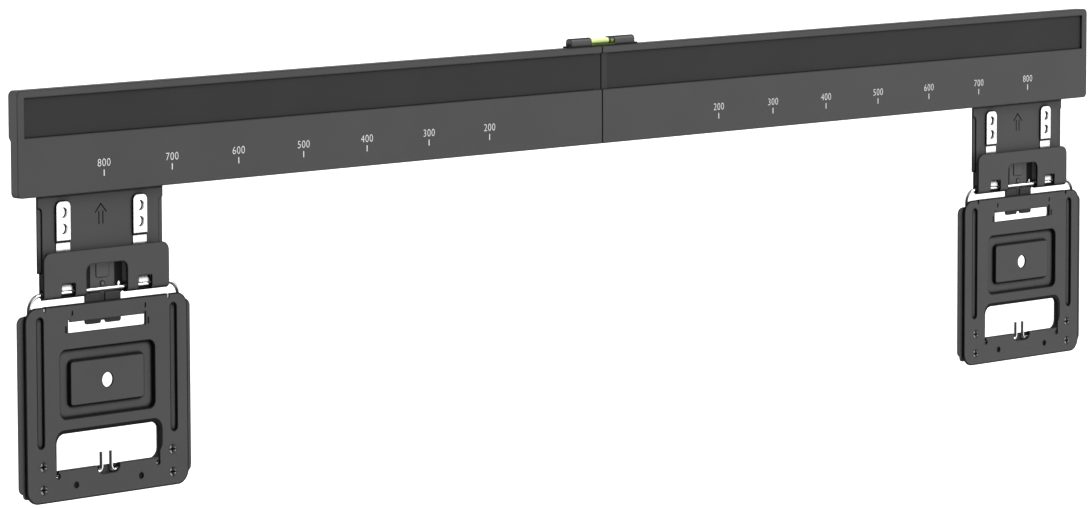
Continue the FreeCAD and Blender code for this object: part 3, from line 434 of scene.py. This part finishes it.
# %% [markdown]
# The strip let into the bar is darker and more matt, with a fine grain drawn along its length.


# %% Inlay strip
ALONG_BAR = (0.05, 1.0, 1.0)
INLAY_GRAIN, INLAY_CLOUD = 2600.0, 14.0
INLAY_GAP = (0.32, 0.6)


def inlay_finish():
    paint = Paint("inlay_strip")
    point = paint.place()
    grain = paint.noise(paint.stretch(point, ALONG_BAR), INLAY_GRAIN, 2.0)
    cloud = paint.noise(point, INLAY_CLOUD, 3.0)
    base = paint.mix(cloud.step(*MOTTLE), grey(50), grey(53))
    # Painted shade along the edges and in narrow gaps.
    edge_and_gap_shade = paint.edge(EDGE_REACH) * 0.6 + paint.crease(GAP_REACH).step(*INLAY_GAP)
    painted_shading = (edge_and_gap_shade * (1.0 - by_seam(paint, point))).clamp()
    paint.set(Base_Color=paint.mix(painted_shading, base, SHADE_BLACK), Specular_IOR_Level=0.12)
    paint.set(Roughness=(grain * 0.12 + 0.55).clamp())
    paint.bump(grain, 0.02 * MM, 0.3, 0.2 * MM)
    return paint.material


inlay_coat = inlay_finish()
print("inlay strip %.1f mm high" % ((inlay_high.z - inlay_low.z) / MM))

# %% [markdown]
# The stop fork is two sheets in one: a base against the wall plate, painted black for the deep shade
# behind the arch, and a grey tongue pressed proud of it. Depth alone tells them apart, so the finish
# reads Y. Below the wire painted shade of the hook darkens the tongue. The rivet is the other way
# round, a grey dot in a black ring of painted shade, as the shaded wall of a hole.

# %% Fork and rivet
FORK_BASE_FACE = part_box("stop_fork_left")[0].y + 0.7 * MM
WIRE_AXIS_Z = 48.9 * MM - BOLT_DROP
BELOW_WIRE = (WIRE_AXIS_Z - 3.0 * MM, WIRE_AXIS_Z - 2.0 * MM)
HOOK_SHADE_DARK = 0.55
FORK_EDGE, FORK_GAP = 0.75 * MM, (0.6, 0.95)
FORK_GRAIN = 1400.0
RIVET_DOT = 0.8 * MM


def fork_finish():
    paint = Paint("fork_shaded")
    point = paint.place()
    x, y, z = paint.axes(point)
    grain = paint.noise(point, FORK_GRAIN, 3.0)
    # Painted shade: the base sheet is painted black for the deep shade behind the arch.
    base = y.step(FORK_BASE_FACE - 0.05 * MM, FORK_BASE_FACE)
    painted_shading = (base + paint.edge(FORK_EDGE) + paint.crease(GAP_REACH).step(*FORK_GAP)).clamp()
    # Painted shade of the hook on the tongue below the wire.
    painted_shading = (painted_shading + (1.0 - z.step(*BELOW_WIRE)) * HOOK_SHADE_DARK).clamp()
    tone = paint.mix(grain.step(*MOTTLE), grey(78), grey(83))
    paint.set(Base_Color=paint.mix(painted_shading, tone, grey(10)), Specular_IOR_Level=0.25)
    paint.set(Roughness=(grain * 0.1 + painted_shading * 0.2 + 0.45).clamp())
    paint.bump(grain, 0.03 * MM, 0.3, 0.15 * MM)
    return paint.material


def rivet_finish():
    paint = Paint("rivet_shaded")
    point = paint.place()
    x, y, z = paint.axes(point)
    low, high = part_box("fork_stud_right")
    across = abs(x) - (low.x + high.x) / 2
    up = z - (low.z + high.z) / 2
    radius = (across * across + up * up) ** 0.5
    grain = paint.noise(point, FORK_GRAIN, 3.0)
    # Painted shade: a black ring round the grey dot, as the shaded wall of a hole.
    hole_shade = radius.step(RIVET_DOT, RIVET_DOT + 0.2 * MM)
    tone = paint.mix(grain.step(*MOTTLE), grey(92), grey(100))
    paint.set(Base_Color=paint.mix(hole_shade, tone, SHADE_BLACK), Roughness=(grain * 0.1 + 0.4).clamp())
    paint.bump(grain, 0.02 * MM, 0.2, 0.1 * MM)
    return paint.material


fork_coat = fork_finish()
rivet_coat = rivet_finish()
print("fork base starts at y %.2f mm" % (FORK_BASE_FACE / MM))

# %% [markdown]
# ## Bright zinc
# The springs, their clamp strips and the bent wires are zinc-plated steel: a pale metal with fine
# streaks along the drawn length. Painted shade makes gaps dark here too, and the edges of the strips,
# and it paints the line of shadow that a clamp strip throws on its spring. A painted reflection makes
# a wire dark on the side that mirrors the dark part of the room, and more softly along both its
# outlines.


# %% Bright zinc
CAP_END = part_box("strip_cap_left_a")[0].z
CAP_SHADE = 1.5 * MM
CAP_SHADOW_DARK = 2.0
DARK_ROOM = (-0.78, -0.62, 0.0)
TOWARDS_ROOM, TURNED_AWAY, AWAY_REFLECTION_DARK = (0.7, 0.9), (0.62, 0.95), 0.75
ZINC_GRAIN, ZINC_CLOUD = 1500.0, 60.0
ZINC_EDGE, ZINC_GAP = 0.4 * MM, 2.5 * MM
ZINC_SHINE = 0.15


def zinc(name, level, stretch, roughness, rim, gap, room):
    """Bright metal. Rim says how dark its painted shade is on edges and under a clamp strip, and room
    how dark its painted reflection of the dark walls.
    """
    paint = Paint(name)
    point = paint.place()
    x, y, z = paint.axes(point)
    # Painted shadow: the line of shade that a clamp strip throws on its spring.
    shade_start = z.step(CAP_END - CAP_SHADE, CAP_END - CAP_SHADE + 0.2 * MM)
    cap_shadow = shade_start - z.step(CAP_END - 0.02 * MM, CAP_END)
    drawn = paint.noise(paint.stretch(point, stretch), ZINC_GRAIN, 3.0)
    cloud = paint.noise(point, ZINC_CLOUD, 3.0)
    base = paint.mix(cloud.step(0.35, 0.75), grey(level), grey(level - 10))
    # Painted shade on the edges and in gaps.
    painted_shading = paint.edge(ZINC_EDGE) * rim + paint.crease(ZINC_GAP).step(gap, gap + 0.15)
    # Painted reflection: dark where a face mirrors the dark part of the room, softer where it turns
    # away.
    mirrored = paint.facing(DARK_ROOM).step(*TOWARDS_ROOM)
    mirrored = mirrored + paint.turned().step(*TURNED_AWAY) * AWAY_REFLECTION_DARK
    painted_shading = (painted_shading + cap_shadow * rim * CAP_SHADOW_DARK + mirrored * room).clamp()
    paint.set(Base_Color=paint.mix(painted_shading, base, grey(10)), Metallic=1.0 - painted_shading)
    paint.set(Roughness=(drawn * 0.12 + cloud * 0.08 + roughness).clamp())
    paint.set(Specular_IOR_Level=ZINC_SHINE)
    paint.bump(drawn, 0.01 * MM, 0.1, 0.12 * MM)
    return paint.material


spring_zinc = zinc("spring_zinc", 252, (1.0, 1.0, 0.08), 0.16, 0.5, 0.06, 0.0)
wire_zinc = zinc("wire_zinc", 244, (1.0, 1.0, 1.0), 0.04, 0.0, 0.5, 0.95)
print("zinc", [m.name for m in bpy.data.materials if "zinc" in m.name])

# %% [markdown]
# ## The vial
# The vial is a clear tube of yellow-green fluid, painted to glow a little though it is no lamp.
# Painted shade darkens it towards the foot and under the hood at its right end, painted light makes
# it paler towards the crown, and a pale bubble stands under the crown in the middle.

# %% Vial
BUBBLE_HALF, BUBBLE_FADE = 4.5 * MM, 1.0 * MM
HOOD_SHADE_FROM, HOOD_SHADE_DARK = 22.8 * MM, 0.8
FOOT_SHADE_GREEN = (0.03, 0.05, 0.01, 1.0)
FLUID_GREEN = (0.56, 0.72, 0.22, 1.0)
CROWN_LIGHT_GREEN = (0.76, 0.85, 0.52, 1.0)
BUBBLE_GREEN = (0.86, 0.95, 0.58, 1.0)
HOOD_SHADE_GREEN = (0.08, 0.12, 0.02, 1.0)


def vial_finish():
    paint = Paint("vial_fluid")
    point = paint.place()
    x, y, z = paint.axes(point)
    low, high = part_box("level_vial")
    height = z.step(low.z, high.z)
    along = abs(x - (low.x + high.x) / 2)
    bubble = (1.0 - along.step(BUBBLE_HALF - BUBBLE_FADE, BUBBLE_HALF)) * height.step(0.72, 0.86)
    cloud = paint.noise(point, 160.0, 2.0)
    # Painted shade towards the foot, and painted light towards the crown.
    lit = (height.step(0.05, 0.38) * 0.9 + cloud * 0.15).clamp()
    upper = paint.mix(height.step(0.5, 0.95), FLUID_GREEN, CROWN_LIGHT_GREEN)
    fluid = paint.mix(bubble * 0.35, paint.mix(lit, FOOT_SHADE_GREEN, upper), BUBBLE_GREEN)
    # Painted shade under the hood.
    hood_shade = x.step(low.x + HOOD_SHADE_FROM, low.x + HOOD_SHADE_FROM + 0.3 * MM) * HOOD_SHADE_DARK
    colour = paint.mix(hood_shade, fluid, HOOD_SHADE_GREEN)
    # Painted glow: the fluid emits a little of its own colour, though it is no lamp.
    paint.set(Base_Color=colour, Roughness=(cloud * 0.06 + 0.08).clamp(), Emission_Color=colour)
    paint.set(Emission_Strength=0.2, Coat_Weight=0.15, Specular_IOR_Level=0.25)
    paint.bump(cloud, 0.01 * MM, 0.1, 0.1 * MM)
    return paint.material


vial_coat = vial_finish()
print("bubble %.1f mm long" % (2 * BUBBLE_HALF / MM))

# %% [markdown]
# Printed and pressed details need four more finishes: pale ink, a dark line that also serves as
# painted shade, a painted highlight for the rim of a screw head, and the olive of the painted shade
# under the vial.


# %% Ink and lines
FINE_GRAIN = 1800.0
UNTINTED, SHADE_OLIVE = (1.0, 1.0, 1.0, 1.0), (0.5, 0.85, 0.12, 1.0)


def plain_finish(name, level, roughness, spread=4, tint=UNTINTED):
    """A flat colour with a fine grain, for print, dark lines, painted shade and a painted highlight.
    """
    paint = Paint(name)
    point = paint.place()
    grain = paint.noise(point, FINE_GRAIN, 2.0)
    deep, pale = [[c * t for c, t in zip(grey(level + way * spread), tint)] for way in (-1, 1)]
    paint.set(Base_Color=paint.mix(grain.step(*MOTTLE), deep, pale), Specular_IOR_Level=0.08)
    paint.set(Roughness=(grain * 0.1 + roughness).clamp())
    paint.bump(grain, 0.01 * MM, 0.2, 0.05 * MM)
    return paint.material


ink = plain_finish("scale_ink", 226, 0.5)
# Dark lines for the seam, the arrows and the press marks, and painted shade for the screw recesses.
dark_line_and_shade = plain_finish("dark_lines_and_painted_shade", 14, 0.8)
# Painted highlight on a screw head's rim.
rim_highlight = plain_finish("rim_highlight", 150, 0.4, 14)
# Painted shade under the vial.
vial_shade = plain_finish("vial_shade_bed", 100, 0.6, 6, SHADE_OLIVE)
print("materials", len(bpy.data.materials))

# %% [markdown]
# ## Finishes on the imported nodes
# Every node keeps its own mesh and takes the finish of what it is made of. The longest name that
# fits wins, so the level's vial isn't painted as its body.

# %% Dress the nodes
FINISH = {
    "rail": bar_coat,
    "inlay": inlay_coat,
    "level_body": level_coat,
    "level_vial": vial_coat,
    "wall_plate": bracket_coat,
    "spring": spring_zinc,
    "strip_cap": spring_zinc,
    "stop_fork": fork_coat,
    "fork_stud": rivet_coat,
    "wire_bail": wire_zinc,
    "tv_plate_front": front_coat,
    "tv_plate_rear": tray_coat,
    "tv_spacers": screw_coat,
    "tv_screws": screw_coat,
}
SHARP_TURN = 30.0


def shade_by_angle(mesh):
    """Smooth shading, with an edge kept sharp where the faces turn by more than a set angle."""
    for polygon in mesh.polygons:
        polygon.use_smooth = True
    mesh.set_sharp_from_angle(angle=math.radians(SHARP_TURN))


LONGEST_FIRST = sorted(FINISH, key=len, reverse=True)
for name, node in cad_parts.items():
    finish = next(FINISH[key] for key in LONGEST_FIRST if name.startswith(key))
    node.data.materials.clear()
    node.data.materials.append(finish)
    shade_by_angle(node.data)
print("dressed", len(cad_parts))

# %% [markdown]
# ## Thin pieces
# Print and pressed lines are real but very thin, so each is a mesh that stands a few hundredths of
# a millimetre proud of what carries it, and rides on the same body.

# %% Adding a piece
PROUD = 0.02 * MM


def add_piece(name, mesh, finish, body):
    piece = bpy.data.objects.new(name, mesh)
    bpy.context.scene.collection.objects.link(piece)
    mesh.materials.append(finish)
    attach(piece, body)


def finish_mesh(name, shape):
    bmesh.ops.recalc_face_normals(shape, faces=shape.faces)
    mesh = bpy.data.meshes.new(name)
    shape.to_mesh(mesh)
    shape.free()
    return mesh


def box_into(shape, low, high):
    made = bmesh.ops.create_cube(shape, size=1.0)["verts"]
    size = Vector(high) - Vector(low)
    middle = (Vector(high) + Vector(low)) * 0.5
    for vertex in made:
        vertex.co = Vector([vertex.co[i] * size[i] + middle[i] for i in range(3)])


print("thin pieces stand %.2f mm proud" % (PROUD / MM))

# %% [markdown]
# Lines are drawn as outlines in the X-Z plane and thickened. A straight stroke has four corners, and
# a curved one is a row of short slabs.


# %% Strokes
def slab_into(shape, corners, face, depth):
    """A flat outline of (x, z) corners at y = face, thickened by depth into the piece."""
    front = [shape.verts.new((x, face, z)) for x, z in corners]
    back = [shape.verts.new((x, face + depth, z)) for x, z in corners]
    shape.faces.new(front)
    shape.faces.new(list(reversed(back)))
    count = len(corners)
    for i in range(count):
        shape.faces.new((front[i], back[i], back[(i + 1) % count], front[(i + 1) % count]))


def stroke_into(shape, start, end, width, face):
    """A straight line of the given width between two (x, z) points."""
    along = Vector((end[0] - start[0], end[1] - start[1])).normalized() * (width / 2)
    side = Vector((-along.y, along.x))
    a, b = Vector(start) - along, Vector(end) + along
    slab_into(shape, [a + side, b + side, b - side, a - side], face - PROUD, 2 * PROUD)


def ring_into(shape, centre, inner, outer, face, arc, count):
    """Part of a flat ring in the X-Z plane, between the two angles of an arc in degrees."""
    first, last = math.radians(arc[0]), math.radians(arc[1])
    turn = (last - first) / count
    for i in range(count):
        a, b = first + i * turn, first + (i + 1) * turn
        spots = [(inner, a), (outer, a), (outer, b), (inner, b)]
        corners = [(centre[0] + r * math.cos(t), centre[1] + r * math.sin(t)) for r, t in spots]
        slab_into(shape, corners, face - PROUD, 2 * PROUD)


print("strokes are %.2f mm thick" % (2 * PROUD / MM))

# %% [markdown]
# ## The printed scale
# Marks stand every 50 mm, from 100 to 400 mm on both sides of the middle. Each carries the width
# that two such marks span, from 200 to 800. The digits start as text and become meshes.

# %% Scale
TICK_LOW = bar_bottom + 8.2 * MM
TICK_HIGH = bar_bottom + 11.6 * MM
TICK_WIDE = 0.7 * MM
NUMBER_BASE = bar_bottom + 13.4 * MM
NUMBER_HIGH = 4.2 * MM
NUMBER_WIDEN = 1.02
NUMBER_SPACE = 1.1
CAP_SHARE = 0.7
STROKE_TRIM = -0.06 * MM
MARKS = [sign * (100 + 50 * step) * MM for sign in (-1, 1) for step in range(7)]

shape = bmesh.new()
for x in MARKS:
    box_into(shape, (x - TICK_WIDE / 2, bar_face - PROUD, TICK_LOW),
             (x + TICK_WIDE / 2, bar_face + PROUD, TICK_HIGH))
add_piece("scale_ticks", finish_mesh("scale_ticks", shape), ink, "bar")


def number_piece(text, x):
    """A number centred on its mark, stood up on the bar's face."""
    curve = bpy.data.curves.new("number", "FONT")
    curve.body = text
    curve.size = NUMBER_HIGH / CAP_SHARE
    curve.align_x = "CENTER"
    curve.extrude = PROUD
    curve.offset = STROKE_TRIM
    curve.space_character = NUMBER_SPACE
    holder = bpy.data.objects.new("number", curve)
    bpy.context.scene.collection.objects.link(holder)
    bpy.context.view_layer.update()
    solid = holder.evaluated_get(bpy.context.evaluated_depsgraph_get())
    mesh = bpy.data.meshes.new_from_object(solid)
    bpy.data.objects.remove(holder)
    place = Matrix.Translation((x, bar_face, NUMBER_BASE))
    upright = Matrix.Rotation(math.pi / 2, 4, "X")
    mesh.transform(place @ upright @ Matrix.Diagonal((NUMBER_WIDEN, 1.0, 1.0, 1.0)))
    side = "left" if x < 0 else "right"
    add_piece("number_%s_%s" % (side, text), mesh, ink, "bar")


for x in MARKS:
    number_piece(str(round(2 * abs(x) / MM)), x)
print("marks", len(MARKS))

# %% [markdown]
# ## The seam
# The bar comes in two halves. The joint shows as one dark line down the face, and it runs on over
# the sunk rib, whose face is found among the rail's own corners.

# %% Seam line
SEAM_WIDE = 1.1 * MM
SURELY_SUNK = 0.3 * MM
TOP_MARGIN = 0.3 * MM


def on_rib(corner):
    """Whether a corner of the right rail belongs to the sunk rib."""
    beside_seam = corner.x < seam + RIB_HALF / 2
    between = inlay_low.z - BLEND < corner.z < inlay_high.z + BLEND
    return beside_seam and between and corner.y > bar_face + SURELY_SUNK


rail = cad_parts["rail_right"]
corners = [rail.matrix_world @ vertex.co for vertex in rail.data.vertices]
rib_face = min(corner.y for corner in corners if on_rib(corner))
runs = ((bar_face, bar_bottom, inlay_low.z), (rib_face, inlay_low.z, inlay_high.z),
        (bar_face, inlay_high.z, bar_top - TOP_MARGIN))
shape = bmesh.new()
for face, low, high in runs:
    box_into(shape, (seam - SEAM_WIDE / 2, face - PROUD, low),
             (seam + SEAM_WIDE / 2, face + PROUD, high))
add_piece("seam_line", finish_mesh("seam_line", shape), dark_line_and_shade, "bar")
print("seam at x %.1f mm, rib face at y %.2f mm, strip face at y %.2f mm" % (
    seam / MM, rib_face / MM, inlay_low.y / MM))

# %% [markdown]
# ## The arrow on each wall plate
# A pressed outline points up: two slanted lines for the head and two upright ones for the shaft.

# %% Arrows
ARROW_TOP = 94.5 * MM - BOLT_DROP
ARROW_LOW = 84.0 * MM - BOLT_DROP
ARROW_HEAD = 4.3 * MM
ARROW_HALF = 3.9 * MM
SHAFT_HALF = 1.45 * MM
ARROW_LINE = 0.75 * MM
PLATE_FACE = -1.2 * MM

for side, middle in BRACKETS.items():
    shape = bmesh.new()
    neck = ARROW_TOP - ARROW_HEAD
    for sign in (-1, 1):
        barb, shaft = middle + sign * ARROW_HALF, middle + sign * SHAFT_HALF
        stroke_into(shape, (middle, ARROW_TOP), (barb, neck), ARROW_LINE, PLATE_FACE)
        stroke_into(shape, (shaft, neck), (shaft, ARROW_LOW), ARROW_LINE, PLATE_FACE)
    mesh = finish_mesh("arrow_" + side, shape)
    add_piece("arrow_" + side, mesh, dark_line_and_shade, "hook_" + side)
print("arrows %.1f mm high" % ((ARROW_TOP - ARROW_LOW) / MM))

# %% [markdown]
# ## Screw heads
# Each of the four screws has a cross recess, drawn as a flat black cross of painted shade, and a
# painted highlight lies on two sides of the head's rim.

# %% Cross recesses and rims
SCREW_X = 47.15 * MM
SCREW_ROWS = (-42.5 * MM - BOLT_DROP, -54.9 * MM - BOLT_DROP)
CROSS_HALF = 1.9 * MM
CROSS_LINE = 1.0 * MM
RIM_INNER, RIM_OUTER = 1.65 * MM, 2.45 * MM
RIM_ARCS = ((125, 285), (-35, 25))
RIM_PIECES = 10

for side, middle in BRACKETS.items():
    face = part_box("tv_screws_" + side)[0].y
    cross, rim = bmesh.new(), bmesh.new()
    for sign in (-1, 1):
        for z in SCREW_ROWS:
            x = middle + sign * SCREW_X
            # Painted shade: a flat black cross stands in for the recess.
            stroke_into(cross, (x - CROSS_HALF, z), (x + CROSS_HALF, z), CROSS_LINE, face)
            stroke_into(cross, (x, z - CROSS_HALF), (x, z + CROSS_HALF), CROSS_LINE, face)
            # Painted highlight on two sides of the rim.
            for arc in RIM_ARCS:
                ring_into(rim, (x, z), RIM_INNER, RIM_OUTER, face, arc, RIM_PIECES)
    body = "screen_" + side
    add_piece("screw_cross_" + side, finish_mesh("cross", cross), dark_line_and_shade, body)
    add_piece("screw_rim_" + side, finish_mesh("rim", rim), rim_highlight, body)
print("screw heads", 2 * len(SCREW_ROWS) * len(BRACKETS))

# %% [markdown]
# ## Small marks by the upper slot
# The press leaves a short curved mark above each end of the slot and a nick beside it.

# %% Press marks
MARK_X = 26.6 * MM
MARK_Z = 38.0 * MM - BOLT_DROP
MARK_RADIUS = 2.0 * MM
MARK_LINE = 1.1 * MM
MARK_ARC, MARK_PIECES = (-60, 50), 8
NICK_X = 30.0 * MM
NICK_Z = (28.2 * MM - BOLT_DROP, 30.8 * MM - BOLT_DROP)

for side, middle in BRACKETS.items():
    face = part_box("tv_plate_front_" + side)[0].y
    shape = bmesh.new()
    for sign in (-1, 1):
        mark, nick = middle + sign * MARK_X, middle + sign * NICK_X
        ring_into(shape, (mark, MARK_Z), MARK_RADIUS - MARK_LINE, MARK_RADIUS, face,
                  MARK_ARC, MARK_PIECES)
        stroke_into(shape, (nick, NICK_Z[0]), (nick, NICK_Z[1]), MARK_LINE, face)
    mesh = finish_mesh("slot_marks", shape)
    add_piece("slot_marks_" + side, mesh, dark_line_and_shade, "screen_" + side)
print("press marks and nicks", 2 * 2 * len(BRACKETS))

# %% [markdown]
# ## The level's hood
# The right housing reaches over the vial as a short thin hood. It is two arcs about the vial's axis:
# a ring where it starts, and a wide lip behind that.

# %% Hood
vial_low, vial_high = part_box("level_vial")
level_mid = (vial_low.x + vial_high.x) / 2
axis_y = (vial_low.y + vial_high.y) / 2
axis_z = (vial_low.z + vial_high.z) / 2
HOUSING_INNER = 10.0 * MM
HOOD_LONG = 4.2 * MM
HOOD_RING = 0.9 * MM
HOOD_RADII = (1.86 * MM, level_high.z - axis_z)
RING_ARC, RING_PIECES = (-35, 218), 28
LIP_ARC, LIP_PIECES = (30, 150), 14


def arc_into(shape, start, end, arc, count):
    """A thick arc about the vial's axis, between two places along the bar and two angles."""
    first, last = math.radians(arc[0]), math.radians(arc[1])
    inner, outer = HOOD_RADII
    spots = ((start, inner), (start, outer), (end, outer), (end, inner))
    rings = []
    for i in range(count + 1):
        angle = first + i * (last - first) / count
        out, up = math.cos(angle), math.sin(angle)
        rings.append([shape.verts.new((x, axis_y + r * out, axis_z + r * up)) for x, r in spots])
    for one, two in zip(rings, rings[1:]):
        for i in range(4):
            shape.faces.new((one[i], one[(i + 1) % 4], two[(i + 1) % 4], two[i]))
    shape.faces.new(rings[0])
    shape.faces.new(list(reversed(rings[-1])))


shape = bmesh.new()
hood_end = level_mid + HOUSING_INNER
hood_start = hood_end - HOOD_LONG
arc_into(shape, hood_start, hood_start + HOOD_RING, RING_ARC, RING_PIECES)
arc_into(shape, hood_start + HOOD_RING, hood_end, LIP_ARC, LIP_PIECES)
add_piece("level_hood", finish_mesh("level_hood", shape), level_coat, "bar")
print("hood %.1f mm long" % (HOOD_LONG / MM))

# %% [markdown]
# Painted shade lies under the vial, between the two housings: a low olive bar let into the foot
# stands in for it.

# %% Bed
FOOT_HIGH = 1.0 * MM
BED_RISE, BED_SINK = 0.4 * MM, 0.5 * MM
shape = bmesh.new()
bed_top = bar_top + FOOT_HIGH
# Painted shade: the bar stands where only shade lies.
box_into(shape, (level_mid - HOUSING_INNER, level_low.y - PROUD, bed_top - BED_SINK),
         (level_mid + HOUSING_INNER, level_low.y + BED_SINK, bed_top + BED_RISE))
add_piece("level_vial_shade", finish_mesh("level_vial_shade", shape), vial_shade, "bar")
print("bed %.1f mm long" % (2 * HOUSING_INNER / MM))

# %% [markdown]
# ## A plain studio
# The bar hangs in a white studio. The camera sees white, and diffuse light comes mostly from the
# upper right. Bright metal mirrors white walls, a dark part of the room on the left of the bar, and
# some shade beyond the bar's right end, above and below. A world can tell these rays apart with the
# Light Path node.

# %% World
WHITE, BLACK, ROOM_GREY = (1.0, 1.0, 1.0, 1.0), (0.0, 0.0, 0.0, 1.0), (0.03, 0.03, 0.03, 1.0)
AMBIENT = ((0.48, 0.48, 0.48, 1.0), (0.60, 0.60, 0.60, 1.0))
world = bpy.data.worlds.new("studio")
bpy.context.scene.world = world
world.use_nodes = True
sky = Tree(world.node_tree)
direction = sky.make("ShaderNodeTexCoord", output="Generated")
x, y, z = sky.axes(direction)
sees_camera = sky.make("ShaderNodeLightPath", output="Is Camera Ray")
sees_gloss = sky.make("ShaderNodeLightPath", output="Is Glossy Ray")
from_key = (x * 0.6 - y * 0.5 + z * 0.6).step(-0.7, 0.9)
ambient = sky.mix(from_key, *AMBIENT)
left_walls = (x * DARK_ROOM[0] + y * DARK_ROOM[1]).step(0.5, 0.8)
far_end = x.step(0.86, 0.97) * 0.5
above_below = abs(z).step(0.5, 0.85) * 0.85
room = sky.mix((left_walls + far_end + above_below).clamp(), WHITE, ROOM_GREY)
light = sky.mix(sees_camera, sky.mix(sees_gloss, ambient, room), WHITE)
background = world.node_tree.nodes["Background"]
sky.plug(background.inputs["Color"], light)
background.inputs["Strength"].default_value = 1.0
bpy.context.scene.view_settings.view_transform = "Standard"
print("world nodes", len(world.node_tree.nodes))

# %% [markdown]
# Three weak suns shape the light. Two stand on the upper right: one casts no shadow, as a very wide
# source would wash its shadows out, and one draws faint ones. A third lifts the faces on the left,
# and bright metal doesn't mirror it, which keeps the wires dark on that side.


# %% Suns
def sun(name, towards_light, strength, soft, shadow=True, mirrored=True):
    data = bpy.data.lights.new(name, "SUN")
    data.energy = strength
    data.angle = math.radians(soft)
    data.use_shadow = shadow
    lamp = bpy.data.objects.new(name, data)
    bpy.context.scene.collection.objects.link(lamp)
    lamp.rotation_euler = Vector(towards_light).to_track_quat("Z", "Y").to_euler()
    lamp.visible_glossy = mirrored


UPPER_RIGHT, LEFT = (0.62, -0.5, 0.6), (-0.9, -0.3, 0.3)
sun("key_wide", UPPER_RIGHT, 0.7, 40, shadow=False)
sun("key", UPPER_RIGHT, 0.7, 25)
sun("left", LEFT, 1.25, 50, shadow=False, mirrored=False)

# %% [markdown]
# The floor is pale paper, well below the part, so only its soft light reaches the sheet metal. It
# adds a little white for the camera, which keeps the paper white and its shadow soft. Bright metal
# sees white paper far off, and grey paper close by and towards the dark part of the room. That
# gives round wires their dark underside.

# %% Floor
FLOOR_DROP = 0.6
FLOOR_HALF = 30.0
FLOOR_THICK = 0.02
NEAR_PAPER = (1.5, 4.0)
shape = bmesh.new()
floor_top = cad_low.z - FLOOR_DROP
box_into(shape, (-FLOOR_HALF, -FLOOR_HALF, floor_top - FLOOR_THICK),
         (FLOOR_HALF, FLOOR_HALF, floor_top))
floor_mesh = finish_mesh("floor", shape)
floor = bpy.data.objects.new("floor", floor_mesh)
bpy.context.scene.collection.objects.link(floor)
paper = Paint("floor_paper")
fibre = paper.noise(paper.place(), 8.0)
pale = paper.mix(fibre.step(*MOTTLE), grey(250), grey(253))
for_camera = paper.make("ShaderNodeLightPath", output="Is Camera Ray")
in_metal = paper.make("ShaderNodeLightPath", output="Is Glossy Ray")
x, y, z = paper.axes(paper.place())
far_off = (x * x + y * y) ** 0.5
to_room = ((x * DARK_ROOM[0] + y * DARK_ROOM[1]) / far_off).step(0.78, 0.92)
grey_part = (to_room + 1.0 - far_off.step(*NEAR_PAPER)).clamp()
glow = (for_camera + in_metal * (1.0 - grey_part)).clamp()
paper.set(Base_Color=paper.mix(in_metal * grey_part, pale, grey(80)), Roughness=0.9)
paper.set(Emission_Color=paper.mix(glow, BLACK, WHITE), Emission_Strength=0.6)
floor_mesh.materials.append(paper.material)
floor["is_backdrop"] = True
print("floor %.0f mm below the part" % (FLOOR_DROP / MM))

# %% [markdown]
# ## Size and finish
# The frame's box is taken at the start, and the visual model's box here. The visual
# model has to stay within the frame's box.

# %% The two boxes
low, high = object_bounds()
